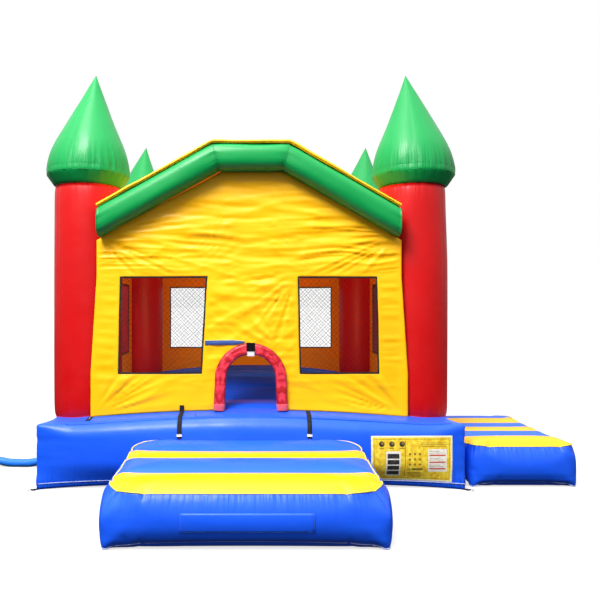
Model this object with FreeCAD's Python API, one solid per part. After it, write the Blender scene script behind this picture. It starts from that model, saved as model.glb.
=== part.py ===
import FreeCAD, Part
import math
import os

os.makedirs("parts", exist_ok=True)

# An inflatable bounce house: a blue air-filled base with a red column on each corner, a green
# cone on each column, yellow fabric walls with net windows, a pitched roof between two green
# beams, and two striped landing pads.
# Millimetres. X runs to the right, Y runs from the door to the back, Z up from the ground, and
# the origin is on the ground under the middle of the base.

# Driving dimensions
HALF_SIDE = 1980.0        # the base is 13 ft square
SKIN = 3.0                # coated fabric with its seams and doubled edges, as one even layer
GAP = 0.5                 # air between pieces that are sewn or laid against each other
CROWN_RADIUS = 16000.0    # the top of the base is a shallow dome
CROWN_TOP = 784.0         # height of the dome at its middle
COLUMN_RADIUS = 335.0
COLUMN_X = HALF_SIDE - COLUMN_RADIUS
COLUMN_Y = 1400.0
COLUMN_TOP = 2880.0
CONE_TOP = 4020.0
CONE_RADIUS = 410.0
WALL_Y = COLUMN_Y + COLUMN_RADIUS   # the end walls touch the columns' outer sides
WALL_HALF_WIDTH = 1500.0
SIDE_WALL_X = 1700.0
ROOF_PITCH = math.radians(29.0)
ROOF_TOP = 3255.0
ROOF_FLAT_HALF = 375.0
BEAM_THICK = 285.0
BEAM_END_X = 1440.0
BEAM_FRONT_Y = 1930.0
BEAM_BACK_Y = 1665.0
CANOPY_HALF = 1880.0      # the sheet ends a little over the front of the beams
SEAM = 0.3                # half the width of a seam between two sewn panels
COLUMN_CLEARANCE = 4.0    # between a column and the panels that are notched round it
FLOOR_MARGIN = 12.0       # between the jumping panels and the side walls
EAVE_RADIUS = 125.0
EAVE_HEIGHT = 2350.0
DOOR_OUTER = 345.0
DOOR_INNER = 234.0
DOOR_SPRING_Z = 990.0
DOOR_SPLAY = 13.0         # each leg of the door's band stands this much wider at its foot
FRONT_PAD_HALF = 1015.0
FRONT_PAD_FRONT = 3360.0
PAD_GAP = 12.0
WEBBING = 43.0            # width of the black straps
WEBBING_THICK = 2.5
TUBE_RADIUS = 40.0
TUBE_Y = -1180.0

BASE_CORNER = 130.0
BASE_TOP_ROUND = 110.0
BASE_BOTTOM_ROUND = 50.0
WALL_FOOT = 520.0         # walls are cut off by the dome, from this height up

# Windows, door and straps
WINDOW_LOW = 1040.0
WINDOW_HIGH = 1970.0
END_WINDOWS = [(-1240.0, -450.0), (450.0, 1240.0)]
SIDE_WINDOW = [(-880.0, 880.0)]
BINDING = 24.0            # width of the black edging round each window
NET_MARGIN = 15.0         # the net is sewn this far behind the window's edge
DOOR_BAND_FRONT = WALL_Y + 65.0
DOOR_BAND_BACK = WALL_Y - 45.0
STRAP_X = (-660.0, 545.0)
SIDE_STRAP_Y = (-960.0, -500.0)

# Landing pads
FRONT_PAD_LOW_TOP = 415.0
FRONT_PAD_HIGH_TOP = 470.0
SIDE_PAD_TOP = 400.0
SIDE_PAD_REACH = 3050.0
SIDE_PAD_Y = (-1920.0, -370.0)
PAD_CORNER = 120.0
PAD_EDGE = 90.0

# Ground anchors and the deflation zip
ANCHOR_TAIL = 115.0
RING_WIRE = 5.0
RING_LEVEL = 6.2
RING_HALF = 25.0
ANCHOR_REACH = 2830.0     # from the middle of the base to the eye, along each diagonal
ZIP_Z = 300.0
ZIP_HALF = 330.0

# The air tube and the blower
OUTLET_X = -2740.0
OUTLET_Z = 66.0
PORT_Z = 108.0
PORT_X = -HALF_SIDE - GAP
TUBE_ROUTE = [
    (PORT_X, TUBE_Y, PORT_Z),
    (-2080.0, TUBE_Y, PORT_Z),
    (-2180.0, TUBE_Y - 5, 72.0),
    (-2290.0, TUBE_Y - 12, 41.0),
    (-2420.0, TUBE_Y - 14, 40.5),
    (-2560.0, TUBE_Y - 4, 42.0),
    (-2650.0, TUBE_Y, OUTLET_Z),
    (OUTLET_X, TUBE_Y, OUTLET_Z),
]
SCROLL_START = 130.0
SCROLL_GROWTH = 14.0
SCROLL_HALF = 78.0
DUCT_HEIGHT = 92.0
DUCT_REACH = 205.0
BLOWER_WALL = 4.0
SCROLL_DROP = SCROLL_START + 3 * SCROLL_GROWTH
BLOWER_X = OUTLET_X - DUCT_REACH - 10.0
BLOWER_Z = OUTLET_Z - DUCT_HEIGHT / 2 + SCROLL_DROP
INTAKE_RADIUS = 84.0
MOTOR_HOLE = 30.0
IMPELLER_RADIUS = 100.0
IMPELLER_BLADES = 20
SWITCH_TILT = 9.0
SWITCH_HALF = 30.0
BLOWER_RAIL = 10.0        # height of the stand's rails

V = FreeCAD.Vector
X_AXIS = V(1, 0, 0)
Y_AXIS = V(0, 1, 0)
Z_AXIS = V(0, 0, 1)
CORNERS = [("front_left", -1, -1), ("front_right", 1, -1), ("rear_left", -1, 1), ("rear_right", 1, 1)]


# Helpers

def save(name, shape):
    """Write one sub-part and print what it measures."""
    box = shape.BoundBox
    print(
        f"{name:24s} solids {len(shape.Solids)} valid {shape.isValid()} "
        f"volume {shape.Volume / 1e9:8.5f} m3 "
        f"x {box.XMin:8.1f} {box.XMax:8.1f} y {box.YMin:8.1f} {box.YMax:8.1f} "
        f"z {box.ZMin:7.1f} {box.ZMax:7.1f}"
    )
    shape.exportStep(f"parts/{name}.step")


def block(x0, x1, y0, y1, z0, z1):
    return Part.makeBox(x1 - x0, y1 - y0, z1 - z0, V(x0, y0, z0))


def group(shapes):
    return Part.makeCompound(shapes)


def mirrored_y(shape):
    return shape.mirror(V(0, 0, 0), Y_AXIS)


def mirrored_x(shape):
    return shape.mirror(V(0, 0, 0), X_AXIS)


def hollow(make):
    """A closed air chamber: make(inset) gives the chamber's outside, drawn in by inset."""
    return make(0.0).cut(make(SKIN))


def crown(gap):
    """Everything under the dome of the base, raised by gap, with the ball's seam out of the way."""
    centre = V(0, 0, CROWN_TOP - CROWN_RADIUS)
    ball = Part.makeSphere(CROWN_RADIUS + gap, centre, Y_AXIS)
    ball.rotate(centre, Y_AXIS, 180)
    return ball


def crown_height(x, y):
    return CROWN_TOP - CROWN_RADIUS + math.sqrt(CROWN_RADIUS ** 2 - x * x - y * y)


def is_upright(edge):
    return edge.BoundBox.ZLength > 0.9 * edge.Length


def round_edges(shape, radius, chosen):
    return shape.makeFillet(radius, [edge for edge in shape.Edges if chosen(edge)])


def rounded_prism(profile, depth, corner, edge):
    """A side profile pushed along X, with its upright corners and its level edges rounded."""
    solid = Part.Face(Part.makePolygon(profile + [profile[0]])).extrude(V(depth, 0, 0))
    solid = round_edges(solid, corner, is_upright)
    return round_edges(solid, edge, lambda e: not is_upright(e))


def outline(points):
    """A closed wire in the XZ plane. Three points in a row inside a tuple make an arc."""
    edges = []
    last = points[0]
    for item in points[1:] + [points[0]]:
        if isinstance(item, tuple):
            edges.append(Part.Arc(last, item[0], item[1]).toShape())
            last = item[1]
        elif not last.isEqual(item, 1e-6):
            edges.append(Part.LineSegment(last, item).toShape())
            last = item
    return Part.Wire(edges)


def slab_y(wire, y0, y1):
    """The inside of a wire drawn at Y = 0, as a slab from y0 to y1."""
    slab = Part.Face(wire).extrude(V(0, y1 - y0, 0))
    slab.translate(V(0, y0, 0))
    return slab


def flat_wire(points):
    return Part.makePolygon([V(x, 0, z) for x, z in points + [points[0]]])


# The base and its floor

def base_outside(inset):
    half = HALF_SIDE - inset
    body = block(-half, half, -half, half, inset, 1000.0)
    body = round_edges(body, BASE_CORNER - inset, is_upright)
    body = body.common(crown(-inset))
    body = round_edges(body, BASE_TOP_ROUND - inset, lambda e: e.BoundBox.ZMin > 300.0)
    return round_edges(body, BASE_BOTTOM_ROUND - inset, lambda e: e.BoundBox.ZMax < inset + 1.0)


def base_baffles():
    """Fabric strips inside the base that tie its top to its bottom, one under each floor crease."""
    strips = []
    half_length = 1810.0
    half_thick = 0.75
    under = crown(-SKIN - GAP)
    for i in range(6):
        y = -1400.0 + i * 560.0
        strip = block(-half_length, half_length, y - half_thick, y + half_thick, SKIN + GAP, 1000.0)
        strips.append(strip.common(under))
    return group(strips)


def bounce_floor():
    """The jumping panels: two sheets sewn over the dome, notched round the columns."""
    reach = SIDE_WALL_X - FLOOR_MARGIN
    panel = block(SEAM, reach, -BEAM_BACK_Y, BEAM_BACK_Y, 300.0, 1000.0)
    for _, sx, sy in CORNERS:
        foot = V(sx * COLUMN_X, sy * COLUMN_Y, 0)
        panel = panel.cut(Part.makeCylinder(COLUMN_RADIUS + COLUMN_CLEARANCE, 2000, foot))
    panel = panel.common(crown(SKIN + GAP)).cut(crown(GAP))
    return group([panel, mirrored_x(panel)])


def base_welt():
    """The pale welt in the seam round the foot of the base."""
    radius = 4.0
    reach = HALF_SIDE + radius + 0.3
    low = block(-reach, reach, -reach, reach, BASE_BOTTOM_ROUND, BASE_BOTTOM_ROUND + 10.0)
    low = round_edges(low, BASE_CORNER + radius, is_upright)
    loop = [f for f in low.Faces if f.BoundBox.ZMax < BASE_BOTTOM_ROUND + 1.0][0].OuterWire
    start = loop.Edges[0]
    at = start.valueAt(start.FirstParameter)
    along = start.tangentAt(start.FirstParameter)
    ring = Part.Wire(Part.makeCircle(radius, at, along))
    return loop.makePipeShell([ring], True, False)


# Columns and cones

def column(inset, sx, sy):
    foot = V(sx * COLUMN_X, sy * COLUMN_Y, WALL_FOOT)
    tube = Part.makeCylinder(COLUMN_RADIUS - inset, COLUMN_TOP - inset - WALL_FOOT, foot)
    return tube.cut(crown(GAP + inset))


def cone(inset, sx, sy):
    """An onion-footed cone: a short underside, a full rim, then a straight taper to the tip."""
    foot = COLUMN_TOP + GAP + inset
    tip = CONE_TOP - 2.4 * inset
    rim_low = V(CONE_RADIUS - 22 - inset, 0, 2942)
    rim_under = V(CONE_RADIUS - 4 - inset, 0, 2993)
    rim_side = V(CONE_RADIUS - inset, 0, 3051)
    rim_over = V(CONE_RADIUS - 11.4 - inset, 0, 3153)
    rim_high = V(CONE_RADIUS - 45 - inset, 0, 3250)
    edges = [
        Part.LineSegment(V(0, 0, foot), V(COLUMN_RADIUS - inset, 0, foot)).toShape(),
        Part.LineSegment(V(COLUMN_RADIUS - inset, 0, foot), rim_low).toShape(),
        Part.Arc(rim_low, rim_under, rim_side).toShape(),
        Part.Arc(rim_side, rim_over, rim_high).toShape(),
        Part.LineSegment(rim_high, V(0, 0, tip)).toShape(),
        Part.LineSegment(V(0, 0, tip), V(0, 0, foot)).toShape(),
    ]
    solid = Part.Face(Part.Wire(edges)).revolve(V(0, 0, 0), Z_AXIS, 360)
    solid.translate(V(sx * COLUMN_X, sy * COLUMN_Y, 0))
    return solid


# Roof

def roof_line(lift, end_x):
    """Half of a mitred arch: the end and the shoulder of a line that lies lift over the beam."""
    flat = ROOF_FLAT_HALF + lift * math.tan(ROOF_PITCH / 2)
    shoulder = (flat, ROOF_TOP + lift)
    end = (end_x, ROOF_TOP + lift - (end_x - flat) * math.tan(ROOF_PITCH))
    return end, shoulder


def roof_run(low, high, end_x, draw_in):
    """The outlines of the three runs of an arch, low and high over the beam's top.

    draw_in holds each run back from its mitre seams and from the arch's ends.
    """
    end_low, shoulder_low = roof_line(low, end_x - draw_in)
    end_high, shoulder_high = roof_line(high, end_x - draw_in)
    back = draw_in + SEAM
    fall = back * math.tan(ROOF_PITCH)
    slope = [
        end_low, end_high,
        (shoulder_high[0] + back, shoulder_high[1] - fall),
        (shoulder_low[0] + back, shoulder_low[1] - fall),
    ]
    flat = [
        (shoulder_low[0] - back, shoulder_low[1]), (shoulder_high[0] - back, shoulder_high[1]),
        (back - shoulder_high[0], shoulder_high[1]), (back - shoulder_low[0], shoulder_low[1]),
    ]
    return [flat, slope, [(-x, z) for x, z in slope]]


def beam_run(inset, which):
    """One run of the front beam, its long edges rounded until it is nearly a tube."""
    profile = roof_run(inset - BEAM_THICK, -inset, BEAM_END_X, inset)[which]
    run = slab_y(flat_wire(profile), -BEAM_FRONT_Y + inset, -BEAM_BACK_Y - inset)
    along = V(math.cos(ROOF_PITCH), 0, math.sin(ROOF_PITCH) * (0, -1, 1)[which])
    if which == 0:
        along = X_AXIS

    def is_long(edge):
        return abs(edge.tangentAt(edge.FirstParameter).dot(along)) > 0.999

    return round_edges(run, 95.0 - inset, is_long)


def roof_beam():
    """The front beam: a flat run and two slopes, sewn together at the mitres."""
    return group([hollow(lambda inset: beam_run(inset, which)) for which in range(3)])


def roof_canopy():
    """A sheet in three panels over both beams, reaching over the eave tubes between the columns."""
    reach = COLUMN_Y - COLUMN_RADIUS + 20
    over_beams = roof_run(GAP, GAP + SKIN, BEAM_END_X, 0)
    over_eaves = roof_run(GAP, GAP + SKIN, SIDE_WALL_X + 40, 0)
    panels = [slab_y(flat_wire(over_beams[0]), -CANOPY_HALF, CANOPY_HALF)]
    for beam_part, eave_part in list(zip(over_beams, over_eaves))[1:]:
        panel = slab_y(flat_wire(beam_part), -CANOPY_HALF, CANOPY_HALF)
        panel = panel.fuse(slab_y(flat_wire(eave_part), -reach, reach)).removeSplitter()
        for _, sx, sy in CORNERS:
            foot = V(sx * COLUMN_X, sy * COLUMN_Y, COLUMN_TOP - 600)
            panel = panel.cut(Part.makeCylinder(COLUMN_RADIUS + COLUMN_CLEARANCE, 1000, foot))
        panels.append(panel)
    return group(panels)


def eave_beam(inset, sx):
    """The level tube that carries the roof's lower edge between two columns."""
    half = COLUMN_Y - COLUMN_RADIUS - 1
    start = V(sx * (SIDE_WALL_X - 40), -half + inset, EAVE_HEIGHT)
    return Part.makeCylinder(EAVE_RADIUS - inset, 2 * (half - inset), start, Y_AXIS)


# Walls, nets and bindings

def arch_outline(radius, spread, foot):
    """The outline of a round-headed opening of a given radius, whose legs spread to the foot."""
    left = V(-radius, 0, DOOR_SPRING_Z)
    right = V(radius, 0, DOOR_SPRING_Z)
    top = V(0, 0, DOOR_SPRING_Z + radius)
    return outline([V(-radius - spread, 0, foot), left, (top, right), V(radius + spread, 0, foot)])


def end_wall(has_door):
    """The panel under a roof beam, from column to column, at Y = 0."""
    end, shoulder = roof_line(-BEAM_THICK - 2, WALL_HALF_WIDTH)
    right = [(WALL_HALF_WIDTH, WALL_FOOT), end, shoulder]
    left = [(-x, z) for x, z in reversed(right)]
    panel = slab_y(flat_wire(right + left), 0, SKIN)
    for x0, x1 in END_WINDOWS:
        panel = panel.cut(block(x0, x1, -10, 10, WINDOW_LOW, WINDOW_HIGH))
    if has_door:
        panel = panel.cut(slab_y(arch_outline(DOOR_OUTER + 2, DOOR_SPLAY, WALL_FOOT), -10, 10))
    panel.translate(V(0, -WALL_Y - SKIN, 0))
    return panel.cut(crown(GAP))


def side_wall():
    """The panel between the two right-hand columns, under the eave tube."""
    half = COLUMN_Y - COLUMN_RADIUS + COLUMN_CLEARANCE
    top = EAVE_HEIGHT - EAVE_RADIUS - GAP
    panel = block(SIDE_WALL_X - SKIN, SIDE_WALL_X, -half, half, WALL_FOOT, top)
    for y0, y1 in SIDE_WINDOW:
        panel = panel.cut(block(SIDE_WALL_X - 20, SIDE_WALL_X + 20, y0, y1, WINDOW_LOW, WINDOW_HIGH))
    return panel.cut(crown(GAP))


def frame_strip(x0, x1, y0, y1):
    """The flat edging round one window."""
    whole = block(x0 - 3, x1 + 3, y0, y1, WINDOW_LOW - 3, WINDOW_HIGH + 3)
    hole = block(x0 + BINDING, x1 - BINDING, y0 - 5, y1 + 5, WINDOW_LOW + BINDING, WINDOW_HIGH - BINDING)
    return whole.cut(hole)


def bindings(windows):
    """Black edging on the outside of a wall whose outside face is at Y = 0."""
    return group([frame_strip(x0, x1, -GAP - 2, -GAP) for x0, x1 in windows])


def nets(windows):
    """Each window's net, as a plain thin panel behind a wall whose outside face is at Y = 0."""
    near = SKIN + GAP
    m = NET_MARGIN
    return group([
        block(x0 - m, x1 + m, near, near + 1.5, WINDOW_LOW - m, WINDOW_HIGH + m)
        for x0, x1 in windows
    ])


def on_front(shape):
    placed = shape.copy()
    placed.translate(V(0, -WALL_Y - SKIN, 0))
    return placed


def on_right(shape):
    """Turn a piece drawn for a wall at Y = 0 so that it sits on the right-hand wall."""
    placed = shape.copy()
    placed.rotate(V(0, 0, 0), Z_AXIS, 90)
    placed.translate(V(SIDE_WALL_X, 0, 0))
    return placed


# The door

def door_band():
    """The foam-filled band round the doorway."""
    front = -DOOR_BAND_FRONT
    back = -DOOR_BAND_BACK
    outer = slab_y(arch_outline(DOOR_OUTER, DOOR_SPLAY, WALL_FOOT), front, back)
    inner = slab_y(arch_outline(DOOR_INNER, DOOR_SPLAY - 3, WALL_FOOT), front - 5, back + 5)
    band = outer.cut(inner)

    def is_long(edge):
        return edge.BoundBox.YLength < 0.5 and edge.BoundBox.ZMax > WALL_FOOT + 5

    return round_edges(band, 38.0, is_long).cut(crown(GAP))


def door_keeper():
    """A hook-and-loop tab folded over the top of the band, with its stitched end."""
    top = DOOR_SPRING_Z + DOOR_OUTER
    front = -DOOR_BAND_FRONT
    plate = block(-40, 40, front - 3, front - GAP, top - 100, top + 3)
    lid = block(-40, 40, front - GAP, -WALL_Y - SKIN - GAP, top + GAP, top + 3)
    return plate.fuse(lid).removeSplitter()


def door_keeper_tag():
    front = -DOOR_BAND_FRONT - 3
    top = DOOR_SPRING_Z + DOOR_OUTER
    return block(-35, 35, front - GAP - 2, front - GAP, top - 122, top - 80)


def door_tie_strip():
    """The blue strip that ties the door's band to the edge of the left window."""
    top = DOOR_SPRING_Z + DOOR_OUTER
    points = [
        (-440, top - 19), (-440, top + 24), (-170, top + 28),
        (-60, top + 17), (-60, top + 4), (-150, top - 17),
    ]
    outside = -WALL_Y - SKIN
    return slab_y(flat_wire(points), outside - 4.5, outside - 2.5 - GAP)


# Straps, panels and anchors on the base

def shelf_strap(x, y_wall, y_end, z_end):
    """Webbing from the foot of a wall out over the shelf, and down the base's side if it is long."""
    lift = 1.5 + abs(x) * WEBBING / 2 / CROWN_RADIUS
    round_y = -HALF_SIDE + BASE_TOP_ROUND
    z_wall = crown_height(x, y_wall) + lift
    if y_end > round_y:
        z_stop = crown_height(x, y_end) + lift
        inner = [V(x, y_wall, z_wall), V(x, y_end, z_stop)]
        outer = [p + V(0, 0, WEBBING_THICK) for p in inner]
        loop = inner + outer[::-1]
        face = Part.Face(Part.makePolygon(loop + [loop[0]]))
    else:
        z_round = crown_height(x, round_y) + lift
        reach = BASE_TOP_ROUND + lift
        centre = V(x, round_y, z_round - reach)

        def bent(r):
            half = math.sqrt(0.5) * r
            return [
                centre + V(0, 0, r), centre + V(0, -half, half), centre + V(0, -r, 0),
            ]

        low = bent(reach)
        high = bent(reach + WEBBING_THICK)
        start_low = V(x, y_wall, z_wall)
        start_high = start_low + V(0, 0, WEBBING_THICK)
        end_low = V(x, low[2].y, z_end)
        end_high = V(x, high[2].y, z_end)
        edges = [
            Part.LineSegment(start_low, low[0]).toShape(),
            Part.Arc(*low).toShape(),
            Part.LineSegment(low[2], end_low).toShape(),
            Part.LineSegment(end_low, end_high).toShape(),
            Part.LineSegment(end_high, high[2]).toShape(),
            Part.Arc(high[2], high[1], high[0]).toShape(),
            Part.LineSegment(high[0], start_high).toShape(),
            Part.LineSegment(start_high, start_low).toShape(),
        ]
        face = Part.Face(Part.Wire(edges))
    strap = face.extrude(V(WEBBING, 0, 0))
    strap.translate(V(-WEBBING / 2, 0, 0))
    return strap


def turned_to_side(shape):
    """The same strap on the right-hand side of the house, where a front strap at x sits at y = x."""
    turned = shape.copy()
    turned.rotate(V(0, 0, 0), Z_AXIS, 90)
    return turned


def instruction_panel():
    front = -HALF_SIDE - GAP
    return block(1100, 1850, front - 1.5, front, 62, 500)


def anchor_local():
    """A webbing loop that lies on the ground and points along +X, with its eye round X = 0."""
    bar = RING_WIRE / 2
    half = WEBBING / 2 - 2.5
    inner = bar + 1.0
    outer = inner + WEBBING_THICK
    eye = Part.makeCylinder(outer, 2 * half, V(0, -half, RING_LEVEL), Y_AXIS)
    tail = block(-ANCHOR_TAIL, 0, -half, half, RING_LEVEL - outer, RING_LEVEL - inner)
    hole = Part.makeCylinder(inner, 4 * half, V(0, -2 * half, RING_LEVEL), Y_AXIS)
    return eye.fuse(tail).removeSplitter().cut(hole)


def ring_local():
    """A steel D-ring lying flat: a straight bar through the eye and a bow beyond it."""
    bow_x = 14.0
    a = V(0, -RING_HALF, RING_LEVEL)
    b = V(0, RING_HALF, RING_LEVEL)
    c = V(bow_x, RING_HALF, RING_LEVEL)
    d = V(bow_x, -RING_HALF, RING_LEVEL)
    top = V(bow_x + RING_HALF, 0, RING_LEVEL)
    bow = Part.Wire([Part.Arc(c, top, d).toShape()])
    section = Part.Wire(Part.makeCircle(RING_WIRE / 2, c, V(-1, 0, 0)))
    bow = bow.makePipeShell([section], True, False)
    pieces = [bow]
    for p, q in ((a, b), (b, c), (d, a)):
        pieces.append(Part.makeCylinder(RING_WIRE / 2, (q - p).Length, p, q - p))
    for p in (a, b):
        pieces.append(Part.makeSphere(RING_WIRE / 2, p))
    return pieces[0].fuse(pieces[1:]).removeSplitter()


def at_corner(shape, sx, sy):
    placed = shape.copy()
    placed.rotate(V(0, 0, 0), Z_AXIS, math.degrees(math.atan2(sy, sx)))
    reach = ANCHOR_REACH * math.sqrt(0.5)
    placed.translate(V(sx * reach, sy * reach, 0))
    return placed


# The deflation zip on the back of the base

def zip_tape():
    back = HALF_SIDE + GAP
    return block(-ZIP_HALF, ZIP_HALF, back, back + 1.5, ZIP_Z - 18, ZIP_Z + 18)


def zip_slider():
    """A slider body with its hanging pull."""
    back = HALF_SIDE + GAP + 1.5 + GAP
    x = -ZIP_HALF + 25
    body = block(x - 11, x + 11, back, back + 5, ZIP_Z - 8, ZIP_Z + 8)
    body = round_edges(body, 3.0, lambda e: e.BoundBox.YLength > 4.0)
    bridge = block(x - 3, x + 3, back + 5, back + 9, ZIP_Z - 4, ZIP_Z + 4)
    pull = block(x - 6, x + 6, back + 7, back + 9, ZIP_Z - 42, ZIP_Z - 2)
    return body.fuse([bridge, pull]).removeSplitter()


# Landing pads

def front_pad(inset):
    """The pad before the door: its top falls away from the house."""
    back = -HALF_SIDE - PAD_GAP - inset
    front = -FRONT_PAD_FRONT + inset
    low = inset
    profile = [
        V(-FRONT_PAD_HALF + inset, back, low), V(-FRONT_PAD_HALF + inset, front, low),
        V(-FRONT_PAD_HALF + inset, front, FRONT_PAD_LOW_TOP - inset),
        V(-FRONT_PAD_HALF + inset, back, FRONT_PAD_HIGH_TOP - inset),
    ]
    return rounded_prism(profile, 2 * (FRONT_PAD_HALF - inset), PAD_CORNER - inset, PAD_EDGE - inset)


def side_pad(inset):
    x0 = HALF_SIDE + PAD_GAP + inset
    x1 = SIDE_PAD_REACH - inset
    y0 = SIDE_PAD_Y[0] + inset
    y1 = SIDE_PAD_Y[1] - inset
    profile = [
        V(x0, y1, inset), V(x0, y0, inset), V(x0, y0, SIDE_PAD_TOP - inset), V(x0, y1, SIDE_PAD_TOP - inset),
    ]
    return rounded_prism(profile, x1 - x0, PAD_CORNER - inset, PAD_EDGE - inset)


def front_pad_vent():
    """The stitched cover over the front pad's air release."""
    front = -FRONT_PAD_FRONT - GAP
    return block(-490, 440, front - 1.5, front, 140, 272)


# The air tube and the blower

def tube_path(points):
    """Straight runs joined by tangent arcs, each as large as its two runs allow."""
    corners = [V(*p) for p in points]
    edges = []
    start = corners[0]
    radii = []
    for before, here, after in zip(corners, corners[1:], corners[2:]):
        into = (here - before).normalize()
        out = (after - here).normalize()
        turn = into.getAngle(out)
        cut = 0.45 * min((here - before).Length, (after - here).Length)
        radius = cut / math.tan(turn / 2)
        radii.append(radius)
        a = here - into * cut
        b = here + out * cut
        middle = (a + b) * 0.5
        to_centre = (middle - here).normalize()
        centre = here + to_centre * (radius / math.cos(turn / 2))
        top = centre - to_centre * radius
        edges.append(Part.LineSegment(start, a).toShape())
        edges.append(Part.Arc(a, top, b).toShape())
        start = b
    edges.append(Part.LineSegment(start, corners[-1]).toShape())
    print("air tube radii", [round(r) for r in radii])
    return Part.Wire(edges)


def air_tube():
    path = tube_path(TUBE_ROUTE)
    first = V(*TUBE_ROUTE[1]) - V(*TUBE_ROUTE[0])
    ring = Part.Wire(Part.makeCircle(TUBE_RADIUS, V(*TUBE_ROUTE[0]), first))
    tube = path.makePipeShell([ring], True, False)
    expected = math.pi * TUBE_RADIUS ** 2 * path.Length
    print(f"air tube length {path.Length:.1f} volume over section times length {tube.Volume / expected:.4f}")
    return tube


def tube_on_x(x0, x1, y, z, outer, inner):
    """A ring with its axis along X."""
    ring = Part.makeCylinder(outer, x1 - x0, V(x0, y, z), X_AXIS)
    return ring.cut(Part.makeCylinder(inner, x1 - x0 + 10, V(x0 - 5, y, z), X_AXIS))


def air_port():
    """The sewn collar where the tube enters the base."""
    return tube_on_x(PORT_X - 42, PORT_X, TUBE_Y, PORT_Z, TUBE_RADIUS + 9, TUBE_RADIUS + 4)


def tube_strap():
    """The strap that ties the tube to the blower."""
    return tube_on_x(OUTLET_X + 6, OUTLET_X + 30, TUBE_Y, OUTLET_Z, TUBE_RADIUS + 7, TUBE_RADIUS + 4.2)


def scroll(inset):
    """A blower scroll: three quarter turns of growing radius that run out into a level duct."""
    radii = [SCROLL_START + i * SCROLL_GROWTH for i in range(3)]
    centres = [V(0, 0, 0), V(0, 0, -SCROLL_GROWTH), V(SCROLL_GROWTH, 0, -SCROLL_GROWTH)]
    edges = []
    for i, (radius, centre) in enumerate(zip(radii, centres)):
        r = radius - inset
        angles = [math.radians(90 * i + 45 * k) for k in range(3)]
        edges.append(Part.Arc(*[centre + V(r * math.cos(a), 0, r * math.sin(a)) for a in angles]).toShape())
    floor = -SCROLL_DROP + inset
    roof = floor + DUCT_HEIGHT - 2 * inset
    right = SCROLL_START - inset
    corners = [
        edges[-1].Vertexes[-1].Point, V(DUCT_REACH - inset, 0, floor),
        V(DUCT_REACH - inset, 0, roof), V(right, 0, roof), V(right, 0, 0),
    ]
    if (corners[0] - V(SCROLL_GROWTH, 0, floor)).Length > 1e-3:
        corners[0] = V(SCROLL_GROWTH, 0, floor)
    for p, q in zip(corners, corners[1:]):
        edges.append(Part.LineSegment(p, q).toShape())
    wire = Part.Wire(edges)
    half = SCROLL_HALF - inset
    return slab_y(wire, -half, half)


def blower_housing():
    """The moulded scroll with its intake, its motor opening and a round outlet."""
    shell = round_edges(scroll(0.0), 10.0, lambda e: e.BoundBox.YLength < 1.0).cut(scroll(BLOWER_WALL))
    shell = shell.cut(Part.makeCylinder(INTAKE_RADIUS, 30, V(0, -SCROLL_HALF - 10, 0), Y_AXIS))
    shell = shell.cut(Part.makeCylinder(MOTOR_HOLE, 30, V(0, SCROLL_HALF - 20, 0), Y_AXIS))
    z = -SCROLL_DROP + DUCT_HEIGHT / 2
    spigot = Part.makeCylinder(TUBE_RADIUS, 12, V(DUCT_REACH - 2, 0, z), X_AXIS)
    shell = shell.fuse(spigot)
    shell = shell.cut(Part.makeCylinder(TUBE_RADIUS - 4, 40, V(DUCT_REACH - 20, 0, z), X_AXIS))
    return shell.removeSplitter()


def blower_grille():
    """The intake guard: rings and spokes in one moulding."""
    y = -SCROLL_HALF - GAP - 6
    pieces = []
    for radius in (22.0, 43.0, 64.0, 90.0):
        width = 8.0 if radius > 80 else 3.0
        ring = Part.makeCylinder(radius, 6, V(0, y, 0), Y_AXIS)
        pieces.append(ring.cut(Part.makeCylinder(radius - width, 20, V(0, y - 5, 0), Y_AXIS)))
    for i in range(6):
        spoke = block(15, 86, y, y + 6, -1.5, 1.5)
        spoke.rotate(V(0, 0, 0), Y_AXIS, 60 * i)
        pieces.append(spoke)
    return pieces[0].fuse(pieces[1:]).removeSplitter()


def blower_impeller():
    """A squirrel cage on its hub."""
    far = SCROLL_HALF - BLOWER_WALL - 12
    near = -SCROLL_HALF + BLOWER_WALL + 14
    disc = Part.makeCylinder(IMPELLER_RADIUS, 4, V(0, far - 4, 0), Y_AXIS)
    hub = Part.makeCylinder(18, 40, V(0, far - 40, 0), Y_AXIS)
    rim = Part.makeCylinder(IMPELLER_RADIUS, 6, V(0, near, 0), Y_AXIS)
    rim = rim.cut(Part.makeCylinder(IMPELLER_RADIUS - 8, 20, V(0, near - 5, 0), Y_AXIS))
    pieces = [disc, hub, rim]
    for i in range(IMPELLER_BLADES):
        blade = block(IMPELLER_RADIUS - 18, IMPELLER_RADIUS - 1, near + 1, far - 1, -1.0, 1.0)
        blade.rotate(V(IMPELLER_RADIUS - 9, 0, 0), Y_AXIS, 35)
        blade.rotate(V(0, 0, 0), Y_AXIS, 360.0 / IMPELLER_BLADES * i)
        pieces.append(blade)
    cage = pieces[0].fuse(pieces[1:]).removeSplitter()
    return cage.cut(Part.makeCylinder(6.3, 200, V(0, -100, 0), Y_AXIS))


def blower_motor():
    """The motor's can outside the scroll, with its shaft reaching into the hub."""
    back = SCROLL_HALF + GAP
    can = Part.makeCylinder(58, 92, V(0, back, 0), Y_AXIS)
    can = round_edges(can, 10.0, lambda e: e.BoundBox.YMin > back + 80)
    flange = Part.makeCylinder(70, 5, V(0, back, 0), Y_AXIS)
    shaft = Part.makeCylinder(6.2, 50, V(0, back - 50, 0), Y_AXIS)
    fins = []
    for i in range(16):
        fin = block(50, 63, back + 5, back + 80, -1.5, 1.5)
        fin.rotate(V(0, 0, 0), Y_AXIS, 22.5 * i)
        fins.append(fin)
    return can.fuse([flange, shaft] + fins).removeSplitter()


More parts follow.
